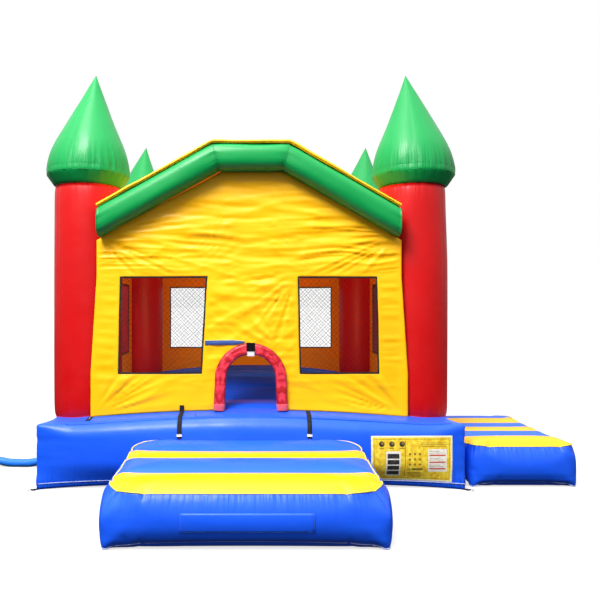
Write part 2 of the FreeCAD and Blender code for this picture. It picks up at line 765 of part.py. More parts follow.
def blower_handle():
    """A carrying grip over the scroll, on two posts."""
    base_z = SCROLL_START + GAP
    posts = []
    for x in (-62, 62):
        foot_z = math.sqrt(SCROLL_START ** 2 - 80 ** 2)
        posts.append(Part.makeCylinder(8, base_z + 46 - foot_z, V(x, 0, foot_z), Z_AXIS))
    bar = Part.makeCylinder(12, 164, V(-82, 0, base_z + 52), X_AXIS)
    grip = bar.fuse(posts).removeSplitter()
    return grip.cut(scroll(-GAP))


def blower_stand():
    """Two side cheeks joined by a cross bar, which carry the scroll."""
    low = -SCROLL_DROP - GAP - BLOWER_RAIL
    pieces = []
    for y in (-66, 56):
        pieces.append(block(-120, 150, y, y + 10, low, -SCROLL_DROP - GAP))
    pieces.append(block(-90, -70, -60, 60, low, low + 6))
    pieces.append(block(110, 130, -60, 60, low, low + 6))
    return pieces[0].fuse(pieces[1:]).removeSplitter()


def blower_feet():
    low = -BLOWER_Z
    top = -SCROLL_DROP - GAP - BLOWER_RAIL - GAP
    return group([
        Part.makeCylinder(9, top - low, V(x, y, low), Z_AXIS)
        for x in (-108, 138) for y in (-61, 61)
    ])


def blower_switch_box():
    """The small box for the switch, on the duct beside the scroll's back."""
    z = -SCROLL_DROP + DUCT_HEIGHT
    box = block(SCROLL_START + 2, SCROLL_START + 60, -SWITCH_HALF, SWITCH_HALF, z + GAP, z + 46)
    box = round_edges(box, 5.0, is_upright)
    return box.cut(block(SCROLL_START + 18, SCROLL_START + 44, -15, 15, z + 32, z + 60))


def blower_rocker():
    """The rocker, which rests tipped to off."""
    z = -SCROLL_DROP + DUCT_HEIGHT + 40
    x = SCROLL_START + 31
    half = 11.0
    side = [(-12, -3), (12, -3), (12, 8), (0, 5), (-12, 8)]
    profile = [V(x - half, y, z + up) for y, up in side]
    rocker = Part.Face(Part.makePolygon(profile + [profile[0]])).extrude(V(2 * half, 0, 0))
    rocker.rotate(V(x, 0, z), X_AXIS, -SWITCH_TILT)
    return rocker


def blower_gland():
    """The cable inlet on the switch box; the supply cable is not fitted."""
    z = -SCROLL_DROP + DUCT_HEIGHT + 22
    nut = Part.makeCylinder(10, 9, V(SCROLL_START + 60 + GAP, 0, z), X_AXIS)
    return nut.fuse(Part.makeCylinder(7, 20, V(SCROLL_START + 60 + GAP, 0, z), X_AXIS)).removeSplitter()


def at_blower(shape):
    placed = shape.copy()
    placed.translate(V(BLOWER_X, TUBE_Y, BLOWER_Z))
    return placed


# The assembly

save("base_chamber", hollow(base_outside))
save("base_baffles", base_baffles())
save("bounce_floor", bounce_floor())
save("base_welt", base_welt())
for corner, sx, sy in CORNERS:
    save(f"column_{corner}", hollow(lambda inset: column(inset, sx, sy)))
    save(f"cone_{corner}", hollow(lambda inset: cone(inset, sx, sy)))
front_beam = roof_beam()
save("roof_beam_front", front_beam)
save("roof_beam_rear", mirrored_y(front_beam))
save("eave_beam_right", hollow(lambda inset: eave_beam(inset, 1)))
save("eave_beam_left", hollow(lambda inset: eave_beam(inset, -1)))
save("roof_canopy", roof_canopy())

save("wall_front", end_wall(True))
save("wall_rear", mirrored_y(end_wall(False)))
save("wall_right", side_wall())
save("wall_left", mirrored_x(side_wall()))
save("net_front", on_front(nets(END_WINDOWS)))
save("net_rear", mirrored_y(on_front(nets(END_WINDOWS))))
save("net_right", on_right(nets(SIDE_WINDOW)))
save("net_left", mirrored_x(on_right(nets(SIDE_WINDOW))))
save("binding_front", on_front(bindings(END_WINDOWS)))
save("binding_rear", mirrored_y(on_front(bindings(END_WINDOWS))))
save("binding_right", on_right(bindings(SIDE_WINDOW)))
save("binding_left", mirrored_x(on_right(bindings(SIDE_WINDOW))))

save("door_band", door_band())
save("door_keeper", door_keeper())
save("door_keeper_tag", door_keeper_tag())
save("door_tie_strip", door_tie_strip())

strap_foot = FRONT_PAD_HIGH_TOP + 4
front_foot_y = -WALL_Y - SKIN - 8
save("front_pad_straps", group([
    shelf_strap(x, front_foot_y, -HALF_SIDE, strap_foot) for x in STRAP_X
]))
side_foot = SIDE_PAD_TOP + 4
save("side_pad_straps", group([
    turned_to_side(shelf_strap(y, -SIDE_WALL_X - 8, -HALF_SIDE, side_foot)) for y in SIDE_STRAP_Y
]))
save("corner_strap", shelf_strap(-1530.0, front_foot_y, -1865.0, 0))
save("instruction_panel", instruction_panel())
save("anchor_loops", group([at_corner(anchor_local(), sx, sy) for _, sx, sy in CORNERS]))
for corner, sx, sy in CORNERS:
    save(f"anchor_ring_{corner}", at_corner(ring_local(), sx, sy))
save("zip_tape", zip_tape())
save("zip_slider", zip_slider())

save("front_pad", hollow(front_pad))
save("front_pad_vent", front_pad_vent())
save("side_pad", hollow(side_pad))

save("air_tube", air_tube())
save("air_port", air_port())
save("tube_strap", tube_strap())
save("blower_housing", at_blower(blower_housing()))
save("blower_grille", at_blower(blower_grille()))
save("blower_impeller", at_blower(blower_impeller()))
save("blower_motor", at_blower(blower_motor()))
save("blower_handle", at_blower(blower_handle()))
save("blower_stand", at_blower(blower_stand()))
save("blower_feet", at_blower(blower_feet()))
save("blower_switch_box", at_blower(blower_switch_box()))
save("blower_rocker", at_blower(blower_rocker()))
save("blower_gland", at_blower(blower_gland()))
print("blower axis", BLOWER_X, TUBE_Y, BLOWER_Z)
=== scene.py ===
import math

import bmesh
import bpy
import numpy as np
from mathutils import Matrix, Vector


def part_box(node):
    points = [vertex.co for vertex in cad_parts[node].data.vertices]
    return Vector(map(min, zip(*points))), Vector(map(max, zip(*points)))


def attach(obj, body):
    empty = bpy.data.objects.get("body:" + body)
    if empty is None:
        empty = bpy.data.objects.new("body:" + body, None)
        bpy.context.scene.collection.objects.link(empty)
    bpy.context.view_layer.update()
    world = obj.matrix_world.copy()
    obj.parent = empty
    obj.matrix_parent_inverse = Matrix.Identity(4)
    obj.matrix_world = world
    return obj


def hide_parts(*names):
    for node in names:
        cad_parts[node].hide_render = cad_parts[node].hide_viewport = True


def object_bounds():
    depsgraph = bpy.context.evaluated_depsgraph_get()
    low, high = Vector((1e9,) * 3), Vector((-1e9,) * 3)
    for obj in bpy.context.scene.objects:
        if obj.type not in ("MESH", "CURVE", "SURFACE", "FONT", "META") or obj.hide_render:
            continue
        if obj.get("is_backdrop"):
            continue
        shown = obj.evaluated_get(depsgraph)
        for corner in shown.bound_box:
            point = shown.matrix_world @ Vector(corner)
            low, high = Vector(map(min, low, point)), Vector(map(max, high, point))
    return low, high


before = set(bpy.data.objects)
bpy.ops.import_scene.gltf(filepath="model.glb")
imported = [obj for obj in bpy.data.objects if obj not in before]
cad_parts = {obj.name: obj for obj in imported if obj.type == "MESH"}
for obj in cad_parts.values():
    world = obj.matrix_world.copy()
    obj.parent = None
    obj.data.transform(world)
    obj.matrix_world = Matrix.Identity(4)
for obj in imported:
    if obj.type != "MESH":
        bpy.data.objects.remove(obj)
CAD_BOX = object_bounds()

# The looks of an inflatable bounce house: metres, X right, Y away from the door, Z up.

# Sizes that the frame gives
BASE_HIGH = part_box("base_chamber")[1]
HALF = BASE_HIGH.x
CROWN_TOP = BASE_HIGH.z
CROWN_RADIUS = 16.0
COLUMN_LOW, COLUMN_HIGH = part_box("column_front_right")
COLUMN_RADIUS = (COLUMN_HIGH.x - COLUMN_LOW.x) / 2
COLUMN_X = (COLUMN_HIGH.x + COLUMN_LOW.x) / 2
COLUMN_Y = -(COLUMN_HIGH.y + COLUMN_LOW.y) / 2
COLUMN_TOP = COLUMN_HIGH.z
CONE_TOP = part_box("cone_front_right")[1].z
BEAM_LOW, BEAM_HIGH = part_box("roof_beam_front")
WALL_LOW, WALL_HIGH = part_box("wall_front")
SIDE_WALL_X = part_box("wall_right")[1].x
EAVE_LOW, EAVE_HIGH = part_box("eave_beam_right")
CORNERS = [("front_left", -1, -1), ("front_right", 1, -1), ("rear_left", -1, 1), ("rear_right", 1, 1)]

# Sizes of the design that a box does not give
ROOF_PITCH = math.radians(29.0)
ROOF_FLAT_HALF = 0.375
BEAM_THICK = 0.285
BEAM_SINK = 0.040         # how much lower the filled beams' tops are than their box
CREASES = [-1.40 + 0.56 * i for i in range(6)]   # where the ties pull the jumping floor down
WINDOW_LOW, WINDOW_HIGH = 1.04, 1.97
END_WINDOWS = [(-1.24, -0.45), (0.45, 1.24)]
SIDE_WINDOW = (-0.88, 0.88)
BINDING = 0.015           # the tape round the windows
DOOR_SPRING_Z = 0.99      # where the door's round head starts
DOOR_OUTER, DOOR_INNER = 0.345, 0.234
DOOR_SPLAY = 0.013        # how far the door's feet stand out


# Numbers and noise

def smooth(a, b, x):
    t = np.clip((x - a) / (b - a), 0.0, 1.0)
    return t * t * (3 - 2 * t)


def mix(a, b, t):
    return a + (b - a) * t


def lattice_value(ix, iy, seed):
    """A repeatable number from -1 to 1 for each whole-numbered place."""
    n = (ix.astype(np.int64) * 374761393 + iy.astype(np.int64) * 668265263 + seed * 974634777) & 0x7FFFFFFF
    n = ((n ^ (n >> 13)) * 1274126177) & 0x7FFFFFFF
    return ((n ^ (n >> 16)) & 0xFFFF) / 32767.5 - 1.0


def noise(u, v=0.0, seed=0):
    """Smooth noise from -1 to 1, one lump per unit."""
    u, v = np.broadcast_arrays(np.asarray(u, float), np.asarray(v, float))
    iu, iv = np.floor(u), np.floor(v)
    fu, fv = u - iu, v - iv
    fu, fv = fu ** 3 * (fu * (6 * fu - 15) + 10), fv ** 3 * (fv * (6 * fv - 15) + 10)
    a = lattice_value(iu, iv, seed)
    b = lattice_value(iu + 1, iv, seed)
    c = lattice_value(iu, iv + 1, seed)
    d = lattice_value(iu + 1, iv + 1, seed)
    return mix(mix(a, b, fu), mix(c, d, fu), fv)


def ridges(u, v=0.0, seed=0):
    """Noise with sharp crests, as folds in stretched cloth have, from 0 to 1."""
    return (1.0 - np.abs(noise(u, v, seed))) ** 2.2


def crown_height(x, y):
    return CROWN_TOP - CROWN_RADIUS + np.sqrt(CROWN_RADIUS ** 2 - x * x - y * y)


# Meshes

def piece(name, points, faces, materials, body="house", replaces=(), slot=None, shade=True):
    """A mesh object that rides on a body, from an array of points and a list of faces."""
    mesh = bpy.data.meshes.new(name)
    mesh.from_pydata(np.asarray(points, float).reshape(-1, 3).tolist(), [], faces)
    mesh.update()
    mesh.polygons.foreach_set("use_smooth", [shade] * len(mesh.polygons))
    obj = bpy.data.objects.new(name, mesh)
    bpy.context.scene.collection.objects.link(obj)
    for material in materials if isinstance(materials, (list, tuple)) else [materials]:
        mesh.materials.append(material)
    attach(obj, body)
    if replaces:
        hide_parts(*replaces)
    return obj


def cover(name, points, faces, material, slot):
    """The air-filled cover of one chamber, in place of the CAD node that its name is made from."""
    obj = piece(name, points, faces, material, replaces=[name.replace("_cover", "")], slot=slot)
    return obj


def grid_faces(nu, nv, wrap_u=False, wrap_v=False, keep=None, start=0):
    """Quads over a grid of points; keep is a mask over the cells."""
    iu = np.arange(nu if wrap_u else nu - 1)
    iv = np.arange(nv if wrap_v else nv - 1)
    a, b = np.meshgrid(iu, iv, indexing="ij")
    if keep is not None:
        a, b = a[keep], b[keep]
    a, b = a.ravel(), b.ravel()
    c, d = (a + 1) % nu, (b + 1) % nv
    quads = np.stack([a * nv + b, c * nv + b, c * nv + d, a * nv + d], axis=1) + start
    return quads.tolist()


def tag(obj, **layers):
    """Numbers on each point of the mesh, for its material to read."""
    for name, values in layers.items():
        layer = obj.data.attributes.new(name, "FLOAT", "POINT")
        layer.data.foreach_set("value", np.asarray(values, np.float32).ravel())


def thicken(obj, thickness, offset=0.0):
    modifier = obj.modifiers.new("thickness", "SOLIDIFY")
    modifier.thickness = thickness
    modifier.offset = offset


def subdivide(obj, levels):
    modifier = obj.modifiers.new("smooth", "SUBSURF")
    modifier.levels = modifier.render_levels = levels


def apply_modifiers(obj):
    made = bpy.data.meshes.new_from_object(obj.evaluated_get(bpy.context.evaluated_depsgraph_get()))
    obj.modifiers.clear()
    obj.data = made
    return made


def coordinates(obj):
    co = np.empty(len(obj.data.vertices) * 3, np.float32)
    obj.data.vertices.foreach_get("co", co)
    return co.reshape(-1, 3).astype(float)


def set_coordinates(obj, points):
    obj.data.vertices.foreach_set("co", np.asarray(points, np.float32).ravel())
    obj.data.update()


def box_surface(xs, ys, zs):
    """The skin of a box as a lattice. Returns the lattice places, the quads, and each quad's side."""
    size = (len(xs), len(ys), len(zs))
    number = {}
    places, quads, sides = [], [], []

    def point(key):
        if key not in number:
            number[key] = len(places)
            places.append(key)
        return number[key]

    for axis, (a, b) in enumerate([(1, 2), (2, 0), (0, 1)]):
        for end in (0, size[axis] - 1):
            for i in range(size[a] - 1):
                for j in range(size[b] - 1):
                    quad = []
                    for di, dj in ((0, 0), (1, 0), (1, 1), (0, 1)):
                        key = [0, 0, 0]
                        key[axis], key[a], key[b] = end, i + di, j + dj
                        quad.append(point(tuple(key)))
                    quads.append(quad if end else quad[::-1])
                    sides.append((axis, 1 if end else -1))
    return np.array(places), quads, sides


def sweep(path, section, across, up):
    """Points of a section, given as (across, up) pairs or one such list per place, along a path."""
    path, across, up = (np.asarray(a, float) for a in (path, across, up))
    section = np.asarray(section, float)
    if section.ndim == 2:
        section = np.repeat(section[None], len(path), axis=0)
    return path[:, None] + section[..., :1] * across[:, None] + section[..., 1:2] * up[:, None]


def turns(count):
    """Angles evenly spaced round a circle."""
    return np.linspace(0, 2 * math.pi, count, endpoint=False)


def round_corner(x, y, half_x, half_y, corner):
    """Moves places near a box's upright corners onto rounded ones.

    Returns how far out each place is along x and y, and its side's outward direction, without signs.
    """
    out_x, out_y = np.abs(x) - (half_x - corner), np.abs(y) - (half_y - corner)
    in_corner = (out_x > 0) & (out_y > 0)
    reach = np.maximum(np.hypot(out_x, out_y), 1e-9)
    share = np.where(in_corner, np.maximum(out_x, out_y) / reach, 1.0)
    new_x = np.where(in_corner, half_x - corner + out_x * share, np.abs(x))
    new_y = np.where(in_corner, half_y - corner + out_y * share, np.abs(y))
    normal_x = np.where(in_corner, out_x / reach, (np.abs(x) >= np.abs(y)) * 1.0)
    normal_y = np.where(in_corner, out_y / reach, (np.abs(y) > np.abs(x)) * 1.0)
    return new_x, new_y, normal_x, normal_y


def middles(values):
    """The value in the middle of each cell of a grid."""
    return (values[1:, 1:] + values[:-1, :-1]) / 2


def clear_of_columns(x, y, overlap):
    """Which cells of a grid lie outside the columns."""
    apart = np.hypot(np.abs(middles(x)) - COLUMN_X, np.abs(middles(y)) - COLUMN_Y)
    return apart > COLUMN_RADIUS - overlap


def add_box(points, faces, corners):
    """Adds a block to a mesh in the making: four corners of its lower face, then four of its upper."""
    start = len(points)
    points += corners
    quads = ((3, 2, 1, 0), (4, 5, 6, 7), (0, 1, 5, 4), (1, 2, 6, 5), (2, 3, 7, 6), (3, 0, 4, 7))
    faces += [[start + k for k in quad] for quad in quads]


def capped(nu, nv):
    """The faces of a tube of nu rings of nv points, with both ends closed by a flat face."""
    faces = grid_faces(nu, nv, wrap_v=True)
    faces.append(list(range(nv))[::-1])
    faces.append([(nu - 1) * nv + i for i in range(nv)])
    return faces


def frames(path):
    """Unit directions along a path."""
    along = np.gradient(np.asarray(path, float), axis=0)
    return along / np.linalg.norm(along, axis=1, keepdims=True)


def lengths(path):
    steps = np.linalg.norm(np.diff(np.asarray(path, float), axis=0), axis=1)
    return np.concatenate([[0.0], np.cumsum(steps)])


def resample(path, count):
    """The same line with evenly spaced points."""
    path = np.asarray(path, float)
    at = lengths(path)
    wanted = np.linspace(0, at[-1], count)
    return np.stack([np.interp(wanted, at, path[:, i]) for i in range(3)], axis=1)


def tube(name, path, radius, sides, material, closed=False, **where):
    """A round welt or wire along a line of points."""
    path = np.asarray(path, float)
    along = np.roll(path, -1, 0) - np.roll(path, 1, 0) if closed else np.gradient(path, axis=0)
    along /= np.linalg.norm(along, axis=1, keepdims=True)
    helper = np.where(np.abs(along[:, 2:3]) < 0.9, [[0.0, 0.0, 1.0]], [[1.0, 0.0, 0.0]])
    side = np.cross(along, helper)
    side /= np.linalg.norm(side, axis=1, keepdims=True)
    up = np.cross(side, along)
    turn = turns(sides)
    ring = radius * np.stack([np.cos(turn), np.sin(turn)], axis=1)
    points = sweep(path, ring, side, up)
    faces = grid_faces(len(path), sides, wrap_u=True, wrap_v=True) if closed else capped(len(path), sides)
    return piece(name, points, faces, material, **where)


def ribbon(name, path, normals, width, thick, material, **where):
    """Flat webbing along a line, with rounded edges."""
    path, normals = np.asarray(path, float), np.asarray(normals, float)
    along = frames(path)
    across = np.cross(along, normals)
    across /= np.linalg.norm(across, axis=1, keepdims=True)
    up = np.cross(across, along)
    half, edge = width / 2, thick / 2
    profile = [(-half + edge * 0.4, -edge), (0, -edge), (half - edge * 0.4, -edge), (half, 0),
               (half - edge * 0.4, edge), (0, edge), (-half + edge * 0.4, edge), (-half, 0)]
    obj = piece(name, sweep(path, profile, across, up), capped(len(path), len(profile)), material, **where)
    tag(obj, run=np.repeat(lengths(path), len(profile)), cross=np.tile([p[0] for p in profile], len(path)))
    return obj


# Materials

class Nodes:
    """A small helper that adds and links shader nodes."""

    def __init__(self, name):
        self.material = bpy.data.materials.new(name)
        self.material.use_nodes = True
        self.tree = self.material.node_tree
        self.shader = self.tree.nodes["Principled BSDF"]

    def add(self, kind, inputs=None, **settings):
        node = self.tree.nodes.new(kind)
        for key, value in settings.items():
            setattr(node, key, value)
        for key, value in (inputs or {}).items():
            self.put(node, key, value)
        return node

    def put(self, node, key, value):
        if isinstance(value, bpy.types.NodeSocket):
            self.tree.links.new(value, node.inputs[key])
        else:
            node.inputs[key].default_value = value

    def math(self, operation, a, b=0.0):
        node = self.add("ShaderNodeMath", operation=operation)
        self.put(node, 0, a)
        self.put(node, 1, b)
        return node.outputs[0]

    def position(self):
        return self.add("ShaderNodeTexCoord").outputs["Object"]

    def stretched(self, vector, scale):
        return self.add("ShaderNodeMapping", {"Vector": vector, "Scale": scale}).outputs[0]

    def noise(self, vector, scale, detail=3.0, rough=0.5):
        inputs = {"Vector": vector, "Scale": scale, "Detail": detail, "Roughness": rough}
        return self.add("ShaderNodeTexNoise", inputs).outputs[0]

    def level(self, value, low, high, to_low, to_high):
        node = self.add("ShaderNodeMapRange", {"Value": value})
        for key, number in (("From Min", low), ("From Max", high), ("To Min", to_low), ("To Max", to_high)):
            node.inputs[key].default_value = number
        return node.outputs[0]

    def blend(self, share, a, b, kind="MIX"):
        node = self.add("ShaderNodeMix", data_type="RGBA", blend_type=kind)
        for index, value in ((0, share), (6, a), (7, b)):
            if isinstance(value, bpy.types.NodeSocket):
                self.tree.links.new(value, node.inputs[index])
            else:
                node.inputs[index].default_value = value
        return node.outputs[2]

    def read(self, name):
        return self.add("ShaderNodeAttribute", attribute_name=name).outputs["Fac"]

    def bump(self, height, strength, distance, normal=None):
        inputs = {"Height": height, "Strength": strength, "Distance": distance}
        if normal is not None:
            inputs["Normal"] = normal
        return self.add("ShaderNodeBump", inputs).outputs[0]

    def weave(self, vector, pitch):
        """A plain weave or scrim: three sets of fine bands, of which each face shows two."""
        total = None
        for axis in "XYZ":
            inputs = {"Vector": vector, "Scale": 0.05 / pitch}
            bands = self.add("ShaderNodeTexWave", inputs, bands_direction=axis)
            value = bands.outputs["Fac"]
            total = value if total is None else self.math("ADD", total, value)
        return total

    def finish(self, colour, roughness, normal, **constants):
        self.put(self.shader, "Base Color", colour)
        self.put(self.shader, "Roughness", roughness)
        if normal is not None:
            self.put(self.shader, "Normal", normal)
        for key, value in constants.items():
            self.shader.inputs[key.replace("_", " ")].default_value = value
        return self.material


def rgb(red, green, blue):
    """Linear colour from the 0 to 255 values of a display."""
    def linear(value):
        share = value / 255
        return share / 12.92 if share <= 0.04045 else ((share + 0.055) / 1.055) ** 2.4
    return (linear(red), linear(green), linear(blue), 1.0)


def darker(colour, share):
    return tuple(c * share for c in colour[:3]) + (1.0,)


def lines_on(made, value, places, half_width):
    """1 on narrow lines where value is one of places."""
    total = None
    for place in places:
        apart = made.math("ABSOLUTE", made.math("SUBTRACT", value, place))
        line = made.level(apart, half_width * 0.4, half_width, 1.0, 0.0)
        total = line if total is None else made.math("MAXIMUM", total, line)
    return total


def vinyl(name, colour, gather=0.0, pucker=30.0, seams=(), stripes=(), rough=0.40, gloss=0.28, coat=0.08):
    """Coated polyester: scrim under a soft gloss, uneven tone, gathers beside seams with painted shade in
    their folds, sewn lines.

    gather is how deep the gathers are and pucker how close. seams are places on the run attribute.
    stripes is a list of (start, colour) on that attribute.
    """
    made = Nodes(name)
    place = made.position()
    base = colour
    if stripes:
        longest = 2.0
        run = made.level(made.read("run"), 0.0, longest, 0.0, 1.0)
        ramp = made.add("ShaderNodeValToRGB", {"Fac": run})
        ramp.color_ramp.interpolation = "CONSTANT"
        bands = ramp.color_ramp.elements
        while len(bands) < len(stripes):
            bands.new(0.5)
        for band, (start, tint) in zip(bands, stripes):
            band.position = start / longest
            band.color = tint
        base = ramp.outputs[0]
    tone = made.level(made.noise(place, 1.7, 4.0), 0.3, 0.7, 0.0, 1.0)
    shade = made.blend(1.0, base, (0.86, 0.84, 0.88, 1), "MULTIPLY")
    base = made.blend(made.math("MULTIPLY", tone, 0.55), base, shade)
    normal = made.bump(made.weave(place, 0.0022), 0.05, 0.0012)
    normal = made.bump(made.noise(place, 9.0, 3.0), 0.22, 0.012, normal)
    if gather:
        along = made.add("ShaderNodeCombineXYZ", {"X": made.read("along"), "Y": made.read("beside")})
        streaks = made.noise(made.stretched(along.outputs[0], (pucker, 2.2, 1.0)), 1.0, 2.0, 0.4)
        near = made.math("POWER", made.level(made.read("beside"), 0.0, 0.22, 1.0, 0.0), 1.8)
        folds = made.math("MULTIPLY", streaks, near)
        normal = made.bump(folds, gather, 0.03, normal)
        # painted shade: the colour darkens in the gathers' folds, where shade would fall
        deep = made.level(folds, 0.30, 0.62, 0.0, 0.32)
        base = made.blend(deep, base, made.blend(1.0, base, (0.55, 0.55, 0.62, 1), "MULTIPLY"))
    if seams:
        sewn = lines_on(made, made.read("run"), seams, 0.004)
        base = made.blend(made.math("MULTIPLY", sewn, 0.55), base, (0.25, 0.25, 0.25, 1))
        normal = made.bump(sewn, 0.5, 0.003, normal)
    roughness = made.level(made.noise(place, 5.0, 4.0), 0.3, 0.7, rough - 0.06, rough + 0.08)
    return made.finish(base, roughness, normal, Specular_IOR_Level=gloss, Coat_Weight=coat,
                       Coat_Roughness=0.2)


def satin(name, colour):
    """Shiny woven cover of the door's band, with close cross creases: painted highlight on their crests,
    painted shade in their hollows and on the band's sides.
    """
    made = Nodes(name)
    place = made.position()
    along = made.add("ShaderNodeCombineXYZ", {"X": made.read("along"), "Y": made.read("beside")})
    creases = made.noise(made.stretched(along.outputs[0], (15.0, 1.2, 1.0)), 1.0, 2.0, 0.45)
    # painted highlight and shade: the crests of the creases keep the pink-red colour given, their hollows
    # turn dark red
    tone = made.level(creases, 0.43, 0.56, 0.0, 1.0)
    base = made.blend(tone, rgb(176, 4, 22), colour)
    # painted shade: darker towards the band's inner and outer sides
    edge = made.level(made.read("beside"), 0.0, 0.30, 0.7, 0.0)
    base = made.blend(edge, base, darker(colour, 0.16))
    normal = made.bump(made.weave(place, 0.0012), 0.08, 0.0006)
    normal = made.bump(creases, 0.5, 0.03, normal)
    return made.finish(base, made.level(creases, 0.2, 0.8, 0.46, 0.36), normal, Specular_IOR_Level=0.5)


def cloth(name, colour, rough=0.75, pitch=0.002, strength=0.3):
    """Plain woven cloth."""
    made = Nodes(name)
    place = made.position()
    tone = made.level(made.noise(place, 30.0, 4.0), 0.3, 0.7, 0.0, 0.35)
    base = made.blend(tone, colour, darker(colour, 0.6))
    normal = made.bump(made.weave(place, pitch), strength, 0.001)
    return made.finish(base, rough, normal, Sheen_Weight=0.15, Sheen_Roughness=0.5)


def webbing(name, colour):
    """Woven strap: a herringbone of chevrons along its run, with paler worn patches."""
    made = Nodes(name)
    run, cross = made.read("run"), made.read("cross")
    slant = made.math("ADD", run, made.math("ABSOLUTE", cross))
    ribs = made.math("SINE", made.math("MULTIPLY", slant, 2 * math.pi / 0.004))
    rows = made.math("SINE", made.math("MULTIPLY", cross, 2 * math.pi / 0.005))
    height = made.math("ADD", ribs, rows)
    worn = made.level(made.noise(made.position(), 40.0, 4.0), 0.5, 0.8, 0.0, 0.5)
    base = made.blend(worn, colour, (0.04, 0.04, 0.055, 1))
    return made.finish(base, 0.72, made.bump(height, 0.5, 0.0012), Specular_IOR_Level=0.2)


def plastic(name, colour, rough=0.45, grain=260.0):
    """Moulded plastic with a fine spark-eroded grain and scuffs."""
    made = Nodes(name)
    place = made.position()
    fine = made.noise(place, grain, 2.0)
    long_marks = made.noise(made.stretched(place, (3.0, 3.0, 14.0)), 6.0, 6.0, 0.7)
    scuffs = made.level(long_marks, 0.58, 0.75, 0.0, 0.3)
    base = made.blend(scuffs, colour, made.blend(0.35, colour, (0.5, 0.5, 0.5, 1)))
    dull = made.level(fine, 0.3, 0.7, rough - 0.05, rough + 0.07)
    roughness = made.math("ADD", dull, made.math("MULTIPLY", scuffs, 0.4))
    return made.finish(base, roughness, made.bump(fine, 0.25, 0.0006), Specular_IOR_Level=0.5)


def metal(name, colour, rough=0.3):
    """Zinc-plated or cast metal with hairline wear."""
    made = Nodes(name)
    place = made.position()
    hair = made.noise(made.stretched(place, (12.0, 160.0, 12.0)), 6.0, 5.0, 0.6)
    stain = made.level(made.noise(place, 22.0, 5.0), 0.5, 0.75, 0.0, 0.4)
    base = made.blend(stain, colour, darker(colour, 0.5))
    roughness = made.level(hair, 0.25, 0.75, rough, rough + 0.2)
    return made.finish(base, roughness, made.bump(hair, 0.15, 0.0005), Metallic=1.0)


def cord_fibre(name, colour):
    """Braided or twisted fibre, for nets and stitching."""
    made = Nodes(name)
    place = made.position()
    twist = made.noise(made.stretched(place, (1.0, 1.0, 1.6)), 420.0, 2.0)
    base = made.blend(made.level(twist, 0.35, 0.65, 0.0, 0.6), darker(colour, 0.6), colour)
    return made.finish(base, 0.62, made.bump(twist, 0.5, 0.0008))


def hook_tape(name):
    """Hook-and-loop tape: a dense black pile."""
    made = Nodes(name)
    pile = made.noise(made.position(), 900.0, 3.0, 0.7)
    tips = made.level(pile, 0.4, 0.7, 0.0, 1.0)
    base = made.blend(tips, (0.002, 0.002, 0.003, 1), (0.014, 0.014, 0.018, 1))
    return made.finish(base, 0.85, made.bump(pile, 0.7, 0.002), Specular_IOR_Level=0.06)


BLUE = rgb(22, 88, 236)
RED = rgb(196, 6, 9)
GREEN = rgb(6, 146, 70)
YELLOW = rgb(255, 190, 2)
PAD_YELLOW = rgb(244, 178, 8)
PAD_BLUE = rgb(22, 92, 214)

blue_vinyl = vinyl("blue_vinyl", BLUE, gather=0.75)
floor_vinyl = vinyl("floor_vinyl", BLUE, seams=[crease + 2.0 for crease in CREASES], rough=0.6, gloss=0.06,
                    coat=0.0)
red_vinyl = vinyl("red_vinyl", RED, gather=0.5)
green_vinyl = vinyl("green_vinyl", GREEN, gather=0.8, pucker=26.0)
beam_vinyl = vinyl("beam_vinyl", GREEN, gather=0.3, pucker=26.0)
yellow_vinyl = vinyl("yellow_vinyl", YELLOW, rough=0.46)
roof_vinyl = vinyl("roof_vinyl", YELLOW, rough=0.44)
tube_vinyl = vinyl("tube_vinyl", rgb(36, 118, 226), rough=0.42)
# the pink-red is the painted highlight on the satin's crease crests; satin() paints their hollows dark red
door_satin = satin("door_satin", rgb(222, 52, 72))
hem_cloth = cloth("hem_cloth", rgb(224, 84, 98))
welt_cloth = cloth("welt_cloth", rgb(168, 178, 224), rough=0.55, strength=0.2)
rim_welt = cloth("rim_welt", rgb(244, 240, 170), rough=0.5, strength=0.2)
black_web = webbing("black_webbing", (0.012, 0.013, 0.018, 1))
white_tag = cloth("white_tag", rgb(228, 228, 226), pitch=0.0014)
net_cord = cord_fibre("net_cord", (0.014, 0.014, 0.018, 1))
pad_welt = cloth("pad_welt", rgb(240, 214, 60), rough=0.5, strength=0.2)
dark_thread = cord_fibre("dark_thread", rgb(12, 50, 120))
vent_thread = cord_fibre("vent_thread", rgb(90, 140, 236))
orange_thread = cord_fibre("orange_thread", rgb(214, 112, 10))
tie_cloth = cloth("tie_cloth", rgb(44, 78, 150), rough=0.5)
baffle_cloth = cloth("baffle_cloth", rgb(160, 168, 180), pitch=0.0016)
steel = metal("steel", (0.62, 0.63, 0.65, 1), 0.28)
motor_metal = metal("motor_metal", (0.30, 0.31, 0.33, 1), 0.42)
blower_plastic = plastic("blower_plastic", rgb(30, 92, 196), 0.42)
black_plastic = plastic("black_plastic", (0.016, 0.016, 0.018, 1), 0.5)
rocker_plastic = plastic("rocker_plastic", rgb(190, 20, 18), 0.3)
rubber = plastic("rubber", (0.022, 0.022, 0.022, 1), 0.75, grain=90.0)


# The base

SEAM_LIFT = 0.034         # how far the seam round the foot rises between the corners
TOP_ROUND = 0.115
SIDE_PUFF = 0.034         # how far the air pushes the sides out
SIDE_TUCK = 0.080         # how far the seam round the foot draws them in
CORNER_RISE = 0.068
FLOOR_FULLNESS = 0.085    # how much the jumping floor stands over the crown
CREASE_DEPTH = 0.030


def base_rise(x, y):
    """The base's top: the domed crown, a little higher at the four corners."""
    from_corner = np.hypot(HALF - np.abs(x), HALF - np.abs(y))
    return crown_height(x, y) + CORNER_RISE * np.exp(-from_corner / 0.24)


